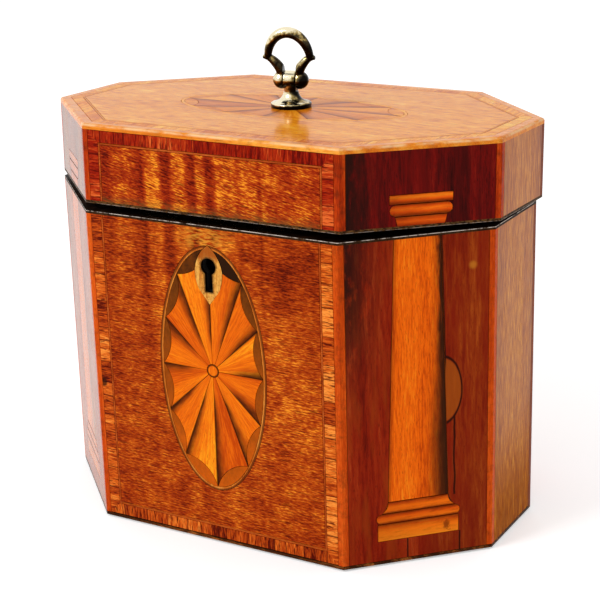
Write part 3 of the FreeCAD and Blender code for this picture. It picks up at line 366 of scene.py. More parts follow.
# The lid top's crossbanding tones are pale with the same painted sheen as the lid top.
LID_BAND_SHEEN_TONES = (paint(196, 92, 8), paint(232, 130, 16), paint(250, 162, 32), paint(255, 198, 74))
BAND_LENGTH, LENGTH_SPREAD, SPREAD_SIZE = 5.5, 3.0, 13.0
OFFCUTS_ALONG, OFFCUTS_DEEP = 17.0, 3.1
CHATTER_SIZE, CUT_SHARE = (4.0, 0.5), 0.9
BAND_KNOT, BAND_KNOT_REACH = (-38.4, 44.0), (1.9, 2.4)
KNOT_BROWN, KNOT_SHARE = paint(34, 10, 3), 0.85
LID_END_BAND = 66.0


def in_mm(corners):
    """The two corners of a piece's box, in millimetres."""
    return [corner / MM for corner in corners]


def own_tone(finish, own, row=0.5):
    """A number from 0 to 1 for each cut piece, told apart by its own count and its row."""
    return finish.noise(own * 7.3, row, 0.5).step(0.3, 0.7)


def crossbanding(name, colours, upright, gloss=POLISH_GLOSS, knot=None):
    """Lengths with the grain across the strip; upright is 1 where the strip stands upright."""
    band = finish_of(name)
    x, y, z = band.place()
    strip = upright(x, y, z)
    run = (y + z) * strip + x * (1 - strip)
    across = x * strip + (y + z) * (1 - strip)
    spread = band.noise(run / SPREAD_SIZE, strip * 9, 0.5) * LENGTH_SPREAD
    lengths = run / BAND_LENGTH + spread
    own, part = lengths.math("FLOOR"), lengths.math("FRACT")
    lift = own_tone(band, own, strip * 5) * 0.6 - 0.38 + strip * x.share(-30, 30) * 0.22
    deep = own * OFFCUTS_DEEP
    colour, relief = timber(
        band, across + own * OFFCUTS_ALONG, run, deep, colours, band=1.6, contrast=0.6, lift=lift)
    chatter = band.mottle(across, run, CHATTER_SIZE, deep, 2.0, 0.6).step(0.56, 0.66)
    joint = 1 - part.share(0.03, 0.08)
    cuts = chatter.most(joint)
    colour = band.mix(cuts * CUT_SHARE, colour, colours[0])
    if knot:
        dark = near(x, z, knot, BAND_KNOT_REACH).step(0.1, 0.6)
        colour = band.mix(dark * KNOT_SHARE, colour, KNOT_BROWN)
    return polish(band, colour, relief - cuts, gloss=gloss)


low, high = in_mm(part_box("front_crossbanding"))
front_band = crossbanding(
    "front_crossbanding", BAND_TONES, lambda x, y, z: high.x - abs(x) < z - low.z,
    knot=BAND_KNOT)
dress(front_band, "front_crossbanding")
lid_low, lid_high = in_mm(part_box("lid_front_crossbanding"))
lid_middle = (lid_low.x + lid_high.x) / 2
lid_front_band = crossbanding(
    "lid_front_crossbanding", RED_BAND_TONES,
    lambda x, y, z: lid_high.x - lid_middle - abs(x - lid_middle) < lid_high.z - z)
dress(lid_front_band, "lid_front_crossbanding")
lid_top_band = crossbanding(
    "lid_top_crossbanding", LID_BAND_SHEEN_TONES,
    lambda x, y, z: abs(x - lid_middle) > LID_END_BAND, gloss=LID_TOP_GLOSS)
dress(lid_top_band, "lid_top_crossbanding")


# Boxwood lines. Pale close-grained wood gone orange, glued in: square lines in every angle of
# the box, thin stringing, the rim of the lid's oval, the foot line and the rounded lid edging.

LID_PIVOT, LID_SLOPE = 48.9, math.tan(math.radians(1.4))
LID_TOP = 119.0
LID_ARRIS = LID_TOP - 0.35
ANGLE_TONES = (paint(170, 50, 5), paint(208, 76, 12), paint(234, 104, 28))
LID_ANGLE_TONES = (paint(128, 26, 3), paint(186, 56, 8), paint(218, 88, 22))
STRING_TONES = (paint(120, 38, 7), paint(180, 74, 20), paint(212, 106, 42))
STRING_SHEEN_ON_LID = paint(224, 134, 38)
EDGE_TONES = (paint(206, 96, 16), paint(238, 136, 32), paint(254, 178, 70))
EDGE_GLOSS = 1.16
FOOT_TONES = (paint(26, 12, 4), paint(70, 34, 10), paint(190, 110, 44))
LINE_GRAIN = {"band": 3.0, "streak": 0.3, "contrast": 0.45}
LINE_DIRT, DIRT_SIZE = paint(60, 28, 8), 2.5
REAR_PAINTED_SHADE, REAR_SHADE_SHARE = paint(96, 50, 22), 0.75
EDGE_PAINTED_HIGHLIGHT, EDGE_HIGHLIGHT_SHARE = paint(255, 222, 170), 0.6


def on_lid(y, z):
    """Height above the box's foot as it would be with the lid shut."""
    return z - (LID_PIVOT - y) * LID_SLOPE


def thin_line(distance, core, edge):
    """1 within the core of a line, falling to 0 at its edge."""
    return 1 - abs(distance).share(core, edge)


def boxwood(name, colours, stain, upright=False, gloss=POLISH_GLOSS, on_top=None, worn=False):
    """Stained lines; upright ones painted darker at the back, on_top a paler colour facing up."""
    wood = finish_of(name)
    x, y, z = wood.place()
    run, side = (z, x) if upright else (x, z)
    colour, relief = timber(wood, run, side + y, y, colours, **LINE_GRAIN)
    dirt = wood.clouds(DIRT_SIZE, 5.0, 0.7).step(0.46, 0.72)
    colour = wood.mix(dirt * stain, colour, LINE_DIRT)
    # Painted sheen: up-facing stringing on the lid top takes the lid top's paler colour.
    if on_top:
        colour = wood.mix(wood.facing()[2].step(0.5, 0.9), colour, on_top)
    # Painted shade: upright lines behind the middle of the box are darkened brown.
    if upright:
        colour = wood.mix((y > 0) * REAR_SHADE_SHARE, colour, REAR_PAINTED_SHADE)
    # Painted highlight: pale broken streaks along the edging's rounded arris.
    if worn:
        rubbed = wood.noise(x / 5, y / 5, z / 2, 4.0, 0.65).step(0.34, 0.62)
        arris = thin_line(on_lid(y, z) - LID_ARRIS, 0.1, 0.5)
        colour = wood.mix(rubbed * arris * EDGE_HIGHLIGHT_SHARE, colour, EDGE_PAINTED_HIGHLIGHT)
    return polish(wood, colour, relief, roughness=0.16, gloss=gloss)


dress(boxwood("angle_lines", ANGLE_TONES, 0.45, upright=True), "corner_lines")
dress(boxwood("lid_angle_lines", LID_ANGLE_TONES, 0.5, upright=True), "lid_corner_lines")
stringing = boxwood("stringing", STRING_TONES, 0.3, on_top=STRING_SHEEN_ON_LID)
dress(stringing, "front_stringing", "lid_stringing")
dress(boxwood("lid_oval_rim", LID_TOP_SHEEN_TONES[1:], 0.2, gloss=LID_TOP_GLOSS), "lid_fan_ring")
dress(boxwood("lid_edging", EDGE_TONES, 0.3, gloss=EDGE_GLOSS, worn=True), "lid_top_edging")
dress(boxwood("foot_line", FOOT_TONES, 0.9), "base_line")


# Fans. Twelve satinwood petals in an oval, each dipped along one edge in hot sand so that it is
# scorched darker there; darker wood fills the scallops, a small disc covers the middle, and a
# boxwood rim with a dark outer edge runs round the front one.

PETALS = 12
RIM_STEPS = 1440
PETAL_TONES = (paint(194, 68, 5), paint(228, 98, 10), paint(246, 122, 14), paint(255, 160, 26))
# The lid's petals are pale with the same painted sheen as the lid top.
LID_PETAL_SHEEN_TONES = (paint(196, 94, 10), paint(232, 132, 20), paint(252, 166, 40))
PETALS_ALONG, PETALS_DEEP, GRAIN_SPREAD, SCORCH_SPREAD = 31.0, 3.7, 120.0, 60.0
TOASTED, SCORCHED = paint(178, 70, 8), paint(54, 18, 2)
TOAST_SHARE, SCORCH_SHARE = 0.5, 0.94
LID_TOASTED, LID_SCORCHED = LID_TOP_SHEEN_TONES[0], paint(150, 74, 18)
RIM_TONES = (paint(148, 64, 13), paint(208, 112, 32), paint(240, 160, 68))
RIM_DARK, RIM_DARK_SHARE = paint(84, 26, 5), 0.78
BOSS_RING_SHARE = 0.9
GROUND_SHADOW, GROUND_SHADOW_REACH = 8.0, (10.0, 16.0)
GROUND_TONES = (paint(44, 21, 5), paint(120, 58, 8), paint(172, 78, 10), paint(222, 98, 12))


def petal_tips(long_half, short_half):
    """Turns, from 0 to 1, at which the petals' tips part the oval's rim into equal lengths."""
    turns = [step * math.tau / RIM_STEPS for step in range(RIM_STEPS + 1)]
    rim = [(long_half * math.cos(turn), short_half * math.sin(turn)) for turn in turns]
    run = [0.0]
    for first, second in zip(rim, rim[1:]):
        run.append(run[-1] + math.dist(first, second))
    tips = []
    for petal in range(PETALS):
        tip = run[-1] * petal / PETALS
        rise, aside = rim[next(step for step in range(RIM_STEPS) if run[step + 1] > tip)]
        tips.append(math.atan2(aside, rise) / math.tau % 1.0)
    return tips + [1.0]


def fan(name, colours, toasted, scorched, up, left, tips, gloss=POLISH_GLOSS):
    """Petals whose places are measured upwards and to the left from the middle of the oval."""
    petal = finish_of(name)
    spot = petal.place()
    rise, aside = up(*spot), left(*spot)
    turn = aside.math("ARCTAN2", rise) / math.tau
    turn = turn + (turn < 0)
    passed = 0
    for first, last in zip(tips, tips[1:]):
        passed = passed + turn.share(first, last)
    own, part = passed.math("FLOOR"), passed.math("FRACT")
    out = (rise * rise + aside * aside).math("SQRT")
    lift = own_tone(petal, own) * 0.8 - 0.35
    colour, relief = timber(
        petal, out + own * PETALS_ALONG, turn * GRAIN_SPREAD, own * PETALS_DEEP, colours,
        streak=0.5, contrast=0.45, lift=lift)
    rough = petal.noise(turn * SCORCH_SPREAD, out / 5, own * 3.1, 3.0, 0.6).swing(0.24)
    reach = petal.noise(own * 5.1, 8.5, 0.5) * 0.4 + 0.22
    heat = (1 - ((part + rough) / reach).share(0.0, 1.0)) * out.step(1.5, 12.0)
    colour = petal.mix(heat.step(0.0, 0.5) * TOAST_SHARE, colour, toasted)
    colour = petal.mix(heat.step(0.3, 1.0) * SCORCH_SHARE, colour, scorched)
    edge = 1 - (1 - part).share(0.0, 0.04)
    colour = petal.mix(edge, colour, scorched)
    return polish(petal, colour, relief, gloss=gloss)


low, high = in_mm(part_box("front_fan_grounds"))
boss_low, boss_high = in_mm(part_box("front_fan_boss"))
boss_radius = (boss_high.x - boss_low.x) / 2
fan_height = (boss_low.z + boss_high.z) / 2
fan_middle = (0.0, fan_height)
half_width, half_height = (high.x - low.x) / 2, fan_height - low.z
tips = petal_tips(half_height, half_width)
front_petals = fan(
    "front_fan", PETAL_TONES, TOASTED, SCORCHED,
    lambda x, y, z: z - fan_height, lambda x, y, z: -x, tips)
dress(front_petals, "front_fan_petals")

low, high = in_mm(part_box("lid_fan_grounds"))
lid_fan_middle = (low + high) / 2
lid_petals = fan(
    "lid_fan", LID_PETAL_SHEEN_TONES, LID_TOASTED, LID_SCORCHED,
    lambda x, y, z: x - lid_fan_middle.x, lambda x, y, z: y - lid_fan_middle.y, tips,
    gloss=LID_TOP_GLOSS)
dress(lid_petals, "lid_fan_petals")

rim = finish_of("oval_rim")
x, y, z = rim.place()
colour, relief = timber(rim, z, x, y, RIM_TONES, **LINE_GRAIN)
out = span(x, z, fan_middle)
past_grounds = out - out / span(x, z, fan_middle, (half_width, half_height))
colour = rim.mix(past_grounds.step(0.45, 0.75) * RIM_DARK_SHARE, colour, RIM_DARK)
dress(polish(rim, colour, relief), "front_fan_ring")

boss = finish_of("fan_boss")
x, y, z = boss.place()
colour, relief = timber(boss, z, x, y, PETAL_TONES)
ring = thin_line(span(x, z, fan_middle) - boss_radius, 0.25, 0.55)
dress(polish(boss, boss.mix(ring * BOSS_RING_SHARE, colour, SCORCHED), relief), "front_fan_boss")

grounds = finish_of("front_fan_grounds")
x, y, z = grounds.place()
soft = grounds.noise(x / 3, y / 3, z / 6, 3.0, 0.6)
fine = grounds.noise(x / 0.4, y / 0.4, z / 0.9)
rise = (z - fan_height) / half_height
shadow = near(x, z, (GROUND_SHADOW, fan_height + half_height), GROUND_SHADOW_REACH)
tone = soft * 0.5 + fine * 0.24 + 0.12 - rise * 0.36 - shadow * 0.4
colour = grounds.ramp(tone, tones(GROUND_TONES))
dress(polish(grounds, colour, soft), "front_fan_grounds")

lid_grounds = finish_of("lid_fan_grounds")
x, y, z = lid_grounds.place()
colour, relief = timber(lid_grounds, x, y, z, LID_TOP_SHEEN_TONES, lift=-0.2)
dress(polish(lid_grounds, colour, relief, gloss=LID_TOP_GLOSS), "lid_fan_grounds")


# Keyhole escutcheon. A lozenge of bone let in over the top of the front fan, yellowed, with dirt
# in its pores and round the keyhole cut through it; the tea cover's knob is of the same bone.

BONE_TONES = (paint(150, 76, 22), paint(216, 140, 56), paint(240, 178, 82), paint(255, 214, 128))
KEYHOLE, KEYHOLE_RADIUS = (0.0, 84.3), 2.4
SLOT_HALF, SLOT_DROP = 1.25, 7.4
BEHIND_ESCUTCHEON = -40.0
BONE_DIRT, BONE_DIRT_SIZE, BONE_DIRT_SHARE = paint(126, 60, 16), 0.9, 0.7
BONE_STAIN, BONE_STAIN_SIZE, BONE_STAIN_SHARE = paint(164, 76, 16), (0.6, 1.2), 0.92
GRIME, GRIME_SIZE, GRIME_WANDER, GRIME_SHARE = paint(52, 26, 9), (0.7, 0.7), 1.2, 0.8
KEYHOLE_WALL_SHADE = paint(9, 6, 4)

bone = finish_of("bone")
x, y, z = bone.place()
colour, relief = timber(bone, z, x, y, BONE_TONES, band=2.0)
dirt = bone.clouds(BONE_DIRT_SIZE, 4.0, 0.7).step(0.5, 0.7)
colour = bone.mix(dirt * BONE_DIRT_SHARE, colour, BONE_DIRT)
on_front = y < BEHIND_ESCUTCHEON
above = z - KEYHOLE[1]
round_edge = span(x, z, KEYHOLE) - KEYHOLE_RADIUS
slot_edge = (abs(x) - SLOT_HALF).most(abs(above + SLOT_DROP / 2) - SLOT_DROP / 2)
wander = bone.mottle(x, z, GRIME_SIZE, 2.5, 4.0, 0.7).swing(GRIME_WANDER)
hole_edge = round_edge.math("MINIMUM", slot_edge) + wander
stain = bone.mottle(x, z, BONE_STAIN_SIZE, 6.5, 4.0, 0.7).step(0.1, 0.45) * above.step(0.8, 3.4)
colour = bone.mix(stain * on_front * BONE_STAIN_SHARE, colour, BONE_STAIN)
colour = bone.mix((1 - hole_edge.step(0.0, 0.7)) * on_front * GRIME_SHARE, colour, GRIME)
# Painted shade: the keyhole's upright walls in the bone are painted near black.
shaded_wall = 1 - abs(bone.facing()[1]).step(0.3, 0.7)
colour = bone.mix(shaded_wall * on_front, colour, KEYHOLE_WALL_SHADE)
dress(polish(bone, colour, relief), "keyhole_escutcheon", "tea_cover_knob")


# Canted corners. Dark straight-grained mahogany glued upright on the four slanting sides, round
# the columns, redder on the left of each; at the front right it has split beside the shaft and
# round one old patch.

RED_CORNER = (paint(82, 13, 3), paint(133, 27, 6), paint(154, 42, 11), paint(186, 75, 30))
BROWN_CORNER = (paint(100, 16, 2), paint(132, 34, 7), paint(152, 56, 12), paint(188, 88, 26))
LID_CORNER = (paint(34, 7, 5), paint(78, 11, 8), paint(114, 14, 9), paint(148, 34, 18))
CORNER_GRAIN = {"band": 5.0, "streak": 0.8, "contrast": 0.4}
CORNER_STAIN_SIZE, CORNER_STAIN_SHARE = (4.0, 22.0), 0.6
FOOT_RED, FOOT_RED_SHARE, FOOT_RED_RISE = paint(112, 18, 5), 0.4, (10.0, 42.0)
SOOT, SOOT_SIZE, SOOT_SHARE = paint(30, 15, 9), (3.0, 9.0), 0.92
SOOT_RUN, SOOT_RISE = (-21.0, -7.0), (38.0, 84.0)
WOBBLE_SIZE, WOBBLE = (5.0, 9.0), 1.2
LEAF_CURVE, LEAVES_APART, SHEEN_LEAF_APART = 0.1, 40.0, 80.0
SIDE_MIDDLE, SIDE_FACING = 36.48, 0.4
SHAFT_TOP, SHAFT_HALF, SHAFT_TAPER = 95.2, 6.6, 0.0291
SEAM_RISE = 54.0, 60.0
PATCH_MIDDLE, PATCH_REACH = (7.3, 50.7), (5.5, 9.8)
PATCH_BROWN, PATCH_SHARE = paint(176, 90, 20), 0.5
LOWER_SPLIT, LOWER_SPLIT_FOOT, LOWER_SPLIT_TOP = 10.6, 19.0, 43.0
FOOT_SPLIT_MIDDLE, FOOT_SPLIT_HALF, FOOT_SPLIT_TOP = 4.55, 7.75, 7.5
SPLIT_BLACK, SPLIT_SHARE, SPLIT_DEPTH = paint(18, 8, 3), 0.9, 4.0
SPOT, SPOT_GOLD, SPOT_SHARE = (15.8, 86.0), paint(206, 128, 36), 0.6
# Paler tones on the front left side: painted sheen for the haze of its polish at a glancing view.
GRAZING_SHEEN_TONES = (paint(104, 38, 7), paint(168, 84, 20), paint(200, 122, 38), paint(230, 166, 76))
GROUND_SHEEN_SHARE, COLUMN_SHEEN_SHARE = 0.4, 0.6
LEFT_WAX = 0.4


def slanting_side(finish):
    """Distance to the right of a slanting side's middle, and height."""
    x, y, z = finish.place()
    right, back, _ = finish.facing()
    return y * right - x * back + right * back * SIDE_MIDDLE, z


def front_corner(finish, hand):
    """1 on one slanting side only: the front right for hand 1, the front left for hand -1."""
    right, back, _ = finish.facing()
    return (back < -SIDE_FACING) * (right * hand > SIDE_FACING)


def shaft_edge(z):
    """How far the tapering shaft's right edge lies from the side's middle."""
    return SHAFT_HALF + (SHAFT_TOP - z) * SHAFT_TAPER


def painted_grazing_sheen(finish, across, z, colour, share):
    """Painted sheen: a share of the front left side's colour turned pale, the haze of its polish.
    """
    pale = timber(finish, z, across + SHEEN_LEAF_APART, 0.5, GRAZING_SHEEN_TONES, band=3.5, streak=0.7)[0]
    return finish.mix(front_corner(finish, -1) * share, colour, pale)


def side_polish(finish, colour, relief):
    """Polish on the slanting sides; the front left one has been waxed over it."""
    return polish(finish, colour, relief, wax=front_corner(finish, -1) * LEFT_WAX)


def old_damage(corner, across, z, wobble, colour, relief):
    """Splits, a patch let in beside the shaft and a pale spot, on the front right side only."""
    front_right = front_corner(corner, 1)
    side = across + wobble * 0.35
    past_middle = across > PATCH_MIDDLE[0]
    oval = span(across, z, PATCH_MIDDLE, PATCH_REACH)
    filled = (1 - (oval * oval).step(0.8, 1.0)) * past_middle
    colour = corner.mix(filled * front_right * PATCH_SHARE, colour, PATCH_BROWN)
    spot = 1 - span(across, z, SPOT).step(0.4, 1.6)
    colour = corner.mix(spot * front_right * SPOT_SHARE, colour, SPOT_GOLD)
    seam = thin_line(side - shaft_edge(z), 0.3, 0.6) * z.step(*SEAM_RISE)
    patch = thin_line((oval - 1) * PATCH_REACH[0] + wobble * 0.2, 0.1, 0.35) * past_middle
    lower = thin_line(side + wobble * 0.5 - LOWER_SPLIT, 0.12, 0.4)
    lower = lower * (z > LOWER_SPLIT_FOOT) * (z < LOWER_SPLIT_TOP)
    foot = thin_line(abs(side - FOOT_SPLIT_MIDDLE) - FOOT_SPLIT_HALF, 0.12, 0.35)
    foot = foot * (z < FOOT_SPLIT_TOP)
    splits = seam.most(patch, lower, foot) * front_right
    return corner.mix(splits * SPLIT_SHARE, colour, SPLIT_BLACK), relief - splits * SPLIT_DEPTH


def corner_ground(name, left_leaf, right_leaf, damaged):
    """Two leaves that meet under the column, stained, and sooty at the upper left."""
    corner = finish_of(name)
    across, z = slanting_side(corner)
    wobble = corner.mottle(z, across, WOBBLE_SIZE, 2.5, 3.0).swing(WOBBLE)
    deep = across * LEAF_CURVE
    left, relief = timber(corner, z, across, deep, left_leaf, **CORNER_GRAIN)
    right = timber(corner, z, across + LEAVES_APART, deep, right_leaf, **CORNER_GRAIN)[0]
    stain = corner.mottle(across, z, CORNER_STAIN_SIZE, 6.5, 3.0, 0.6).step(0.42, 0.66)
    left = corner.mix(stain * CORNER_STAIN_SHARE, left, right_leaf[2])
    right = corner.mix(stain * CORNER_STAIN_SHARE, right, left_leaf[1])
    right = corner.mix((1 - z.step(*FOOT_RED_RISE)) * FOOT_RED_SHARE, right, FOOT_RED)
    colour = corner.mix((across + wobble).step(-1.0, 5.0), left, right)
    soot = corner.mottle(across, z, SOOT_SIZE, 1.5, 4.0, 0.65).step(0.26, 0.52)
    soot = soot * (1 - across.step(*SOOT_RUN)) * z.step(*SOOT_RISE)
    colour = corner.mix(soot * SOOT_SHARE, colour, SOOT)
    if damaged:
        colour, relief = old_damage(corner, across, z, wobble, colour, relief)
    return side_polish(corner, painted_grazing_sheen(corner, across, z, colour, GROUND_SHEEN_SHARE), relief)


case_corners = corner_ground("corner_ground", RED_CORNER, BROWN_CORNER, damaged=True)
dress(case_corners, "corner_ground_veneers")
lid_corners = corner_ground("lid_corner_ground", LID_CORNER, LID_CORNER, damaged=False)
dress(lid_corners, "lid_corner_grounds")


# Columns. Orange satinwood inlaid in the canted sides: a tapering shaft scorched dark along its
# right edge, a moulded base on the box and a capital on the lid.

SHAFT_TONES = (paint(176, 50, 2), paint(232, 92, 7), paint(252, 112, 12), paint(255, 146, 28))
SHAFT_TOAST, SHAFT_TOAST_SHARE = paint(150, 52, 6), 0.6
SHAFT_SCORCH, SHAFT_SCORCH_SHARE = paint(34, 17, 6), 0.95
SHAFT_LEFT_EDGE, SHAFT_LEFT_SHARE = paint(120, 44, 4), 0.5
SCORCH_SIZE, SCORCH_WANDER = (7.0, 1.2), 3.0
SCORCH_REACH, SCORCH_NARROWS, SCORCH_RISE = 7.0, 5.4, (22.0, 86.0)

shaft = finish_of("column_shafts")
across, z = slanting_side(shaft)
colour, relief = timber(
    shaft, z, across, across * LEAF_CURVE, SHAFT_TONES, band=7.0, streak=0.5, contrast=0.55)
wander = shaft.mottle(z, across, SCORCH_SIZE, 4.5, 3.0, 0.6).swing(SCORCH_WANDER)
inset = shaft_edge(z) - across + wander
reach = SCORCH_REACH - z.step(*SCORCH_RISE) * SCORCH_NARROWS
toast = (1 - inset.step(1.0, reach + 2.2)) * SHAFT_TOAST_SHARE
colour = shaft.mix(toast, colour, SHAFT_TOAST)
scorch = (1 - inset.step(0.4, reach)) * SHAFT_SCORCH_SHARE
colour = shaft.mix(scorch, colour, SHAFT_SCORCH)
left_edge = 1 - (shaft_edge(z) + across).share(0.2, 1.2)
colour = shaft.mix(left_edge * SHAFT_LEFT_SHARE, colour, SHAFT_LEFT_EDGE)
colour = painted_grazing_sheen(shaft, across, z, colour, COLUMN_SHEEN_SHARE)
dress(side_polish(shaft, colour, relief), "column_shafts")

BASE_LOW, BASE_HEIGHT = 7.7, 11.5
BASE_SHADING = (
    (0.0, paint(250, 146, 30)), (0.25, paint(246, 122, 18)), (0.37, paint(186, 66, 8)),
    (0.43, paint(62, 17, 3)), (0.475, paint(84, 24, 3)), (0.52, paint(238, 114, 18)),
    (0.6, paint(232, 92, 11)), (0.65, paint(184, 58, 6)), (0.69, paint(66, 17, 3)),
    (0.735, paint(90, 25, 3)), (0.78, paint(240, 114, 17)), (0.87, paint(246, 112, 14)),
    (0.95, paint(190, 64, 7)), (1.0, paint(80, 22, 3)),
)
CAPITAL_LOW, CAPITAL_HEIGHT = 97.1, 8.4
CAPITAL_SHADING = (
    (0.0, paint(128, 28, 6)), (0.14, paint(230, 86, 15)), (0.23, paint(180, 50, 8)),
    (0.3, paint(46, 6, 2)), (0.36, paint(70, 9, 2)), (0.45, paint(222, 74, 11)),
    (0.54, paint(254, 114, 20)), (0.62, paint(206, 62, 9)), (0.68, paint(46, 6, 2)),
    (0.75, paint(74, 10, 2)), (0.83, paint(236, 86, 13)), (0.92, paint(255, 138, 27)),
    (0.975, paint(236, 106, 18)), (1.0, paint(100, 24, 5)),
)
MOULDING_GRAIN_SHARE, MOULDINGS_APART = 0.25, 40.0
UNEVEN_SIZE, UNEVEN = (2.5, 3.0), 0.05
MOULDING_END, MOULDING_END_RUN = paint(112, 22, 4), (-13.0, 5.0)
BASE_END_SHARE, CAPITAL_END_SHARE = 0.2, 0.5
BURN, BURN_SIZE, BURN_SHARE = paint(90, 20, 3), (5.0, 1.4), 0.45
PLINTH_KNOT, PLINTH_KNOT_REACH, PLINTH_KNOT_SHARE = (8.3, 10.0), (1.9, 2.6), 0.72
KNOT_BEND_SIZE, KNOT_BEND = (1.3, 1.3), 3.6


def moulding(name, shading, level, end_share):
    """Bands of satinwood, each scorched along one edge; level is 0 at the foot and 1 on top."""
    wood = finish_of(name)
    across, z = slanting_side(wood)
    uneven = wood.mottle(across, z, UNEVEN_SIZE, 8.5, 3.0).swing(UNEVEN)
    shade = wood.ramp(level(wood.place()[1], z) + uneven, shading)
    deep = wood.tint() * MOULDINGS_APART
    grain, relief = timber(wood, across, z, deep, SHAFT_TONES, band=3.0, streak=0.4)
    colour = wood.mix(MOULDING_GRAIN_SHARE, shade, grain)
    dark_end = 1 - across.step(*MOULDING_END_RUN)
    colour = wood.mix(dark_end * end_share, colour, MOULDING_END)
    colour = painted_grazing_sheen(wood, across, z, colour, COLUMN_SHEEN_SHARE)
    burn = wood.mottle(across, z, BURN_SIZE, 6.5, 4.0, 0.6).step(0.5, 0.8) * BURN_SHARE
    bend = wood.mottle(across, z, KNOT_BEND_SIZE, 3.5, 4.0, 0.65).swing(KNOT_BEND)
    knot = near(across + bend, z - bend, PLINTH_KNOT, PLINTH_KNOT_REACH).step(0.05, 0.85)
    burn = burn.most(knot * front_corner(wood, 1) * PLINTH_KNOT_SHARE)
    return side_polish(wood, wood.mix(burn, colour, BURN), relief)


base = moulding(
    "column_bases", BASE_SHADING, lambda y, z: (z - BASE_LOW) / BASE_HEIGHT, BASE_END_SHARE)
dress(base, "column_bases")
capital = moulding(
    "column_capitals", CAPITAL_SHADING,
    lambda y, z: (on_lid(y, z) - CAPITAL_LOW) / CAPITAL_HEIGHT, CAPITAL_END_SHARE)
dress(capital, "column_capitals")


# Plain veneers. Straight mahogany, grain upright, glued on the two ends and the back of the box and
# of the lid, grimy beside the angles of the ends, with painted shade at the foot; waxed higher up.

PLAIN_TONES = (paint(124, 46, 2), paint(172, 88, 9), paint(200, 116, 20), paint(236, 166, 58))
GRIME_AND_SHADE_SIZE, GRIME_AND_SHADE_SHARE = (1.2, 16.0), 0.6
PLAIN_SHADE_RISE, END_EDGE, WAX_RISE = (0.0, 34.0), (7.0, 15.0), (8.0, 46.0)

plain = finish_of("plain_mahogany")
x, y, z = plain.place()
colour, relief = timber(plain, z * 0.8, x + y, x - y, PLAIN_TONES, streak=0.42, contrast=0.74)
grime_and_shade = plain.mottle(x + y, z, GRIME_AND_SHADE_SIZE, 4.5, 4.0, 0.65).step(0.36, 0.62)
end_edges = abs(plain.facing()[0]).step(0.5, 0.9) * abs(y).step(*END_EDGE)
# Painted shade: darker towards the foot; beside the end angles the same darkening is grime.
foot = 1 - z.step(*PLAIN_SHADE_RISE)
colour = plain.mix(end_edges.most(foot) * grime_and_shade * GRIME_AND_SHADE_SHARE, colour, PLAIN_TONES[0])
rubbed = plain.clouds(RUB_SIZE, 4.0, RUB_ROUGHNESS)
wax = z.step(*WAX_RISE) * (rubbed.step(0.3, 0.7) * 0.12 + 0.52)
veneer = surface(
    plain, colour, relief, rubbed * 0.2 + 0.2, IOR=1.05, Coat_Weight=wax, Coat_Roughness=0.28,
    Coat_IOR=1.4)
dress(veneer, "end_and_back_veneers", "lid_end_and_back_veneers")


# Tea cover. A loose mahogany board that lies on the tea inside the lining, grain along the box,
# planed and waxed; it is lifted out by its bone knob.

COVER_TONES = (paint(70, 24, 8), paint(122, 50, 18), paint(152, 72, 30), paint(184, 104, 52))

cover = finish_of("tea_cover")
x, y, z = cover.place()
colour, relief = timber(cover, x, y, z, COVER_TONES, band=7.0, streak=0.5, contrast=0.55)
dress(polish(cover, colour, relief, roughness=0.3, gloss=1.25), "tea_cover_board")


# Lippings. Thin dark strips glued round the two edges that meet where the lid shuts, dusty; their
# near-black is partly painted shade of the gap; a painted glint runs along their outer corners.

# Near-black tones, partly painted shade of the gap between lid and box.
LIP_AND_GAP_SHADE_TONES = (paint(10, 5, 3), paint(26, 13, 7), paint(60, 34, 16))
LIP_DUST, LIP_PAINTED_GLINT = paint(150, 104, 52), paint(226, 210, 196)
CASE_DUST, LID_DUST = 0.15, 0.4
LID_GLINT_SHARE = 0.3
LIP_GAP = 0.3


def lipping(name, dusty, rubbed):
    """Dark strip; rubbed gives its painted glint at a depth and height on its outside."""
    lip = finish_of(name)
    x, y, z = lip.place()
    colour, relief = timber(lip, x + y, z, y - x, LIP_AND_GAP_SHADE_TONES)
    outside = 1 - abs(lip.facing()[2]).step(0.3, 0.7)
    dust = lip.noise(x / 1.1, y / 1.1, z / 0.5, 4.0, 0.7).step(0.4, 0.62)
    colour = lip.mix(dust * outside * dusty, colour, LIP_DUST)
    # Painted glint: a pale broken line along the outer corner at the parting edge.
    worn = lip.mottle(x, y, (2.5, 2.5), 3.5, 4.0, 0.7).step(0.38, 0.56)
    colour = lip.mix(worn * outside * rubbed(y, z), colour, LIP_PAINTED_GLINT)
    return polish(lip, colour, relief, roughness=0.4)


case_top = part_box("case_lipping")[1].z / MM
lid_foot = case_top + LIP_GAP
case_lip = lipping(
    "case_lipping", CASE_DUST, lambda y, z: z.share(case_top - 0.22, case_top - 0.12))
dress(case_lip, "case_lipping")
lid_lip = lipping(
    "lid_lipping", LID_DUST,
    lambda y, z: on_lid(y, z).share(lid_foot + 0.2, lid_foot + 0.1) * LID_GLINT_SHARE)
dress(lid_lip, "lid_lipping")


# Lining. Thin cedar boards glued inside the box stand proud of its rim and carry lead foil,
# pressed into the corners; plain aged paper is pasted under the lid.

CEDAR_TONES = (paint(96, 50, 26), paint(150, 92, 54), paint(184, 128, 84))
LEAD_TONES = (paint(96, 96, 98), paint(160, 160, 160), paint(196, 194, 188))
PAPER_TONES = (paint(150, 128, 96), paint(196, 176, 140))
FOXED, FOXED_SHARE = paint(128, 88, 50), 0.6

lining = finish_of("lining_cedar")
x, y, z = lining.place()
colour, relief = timber(lining, x + y, z, x - y, CEDAR_TONES)
dress(surface(lining, colour, relief, 0.6), "lining_boards")

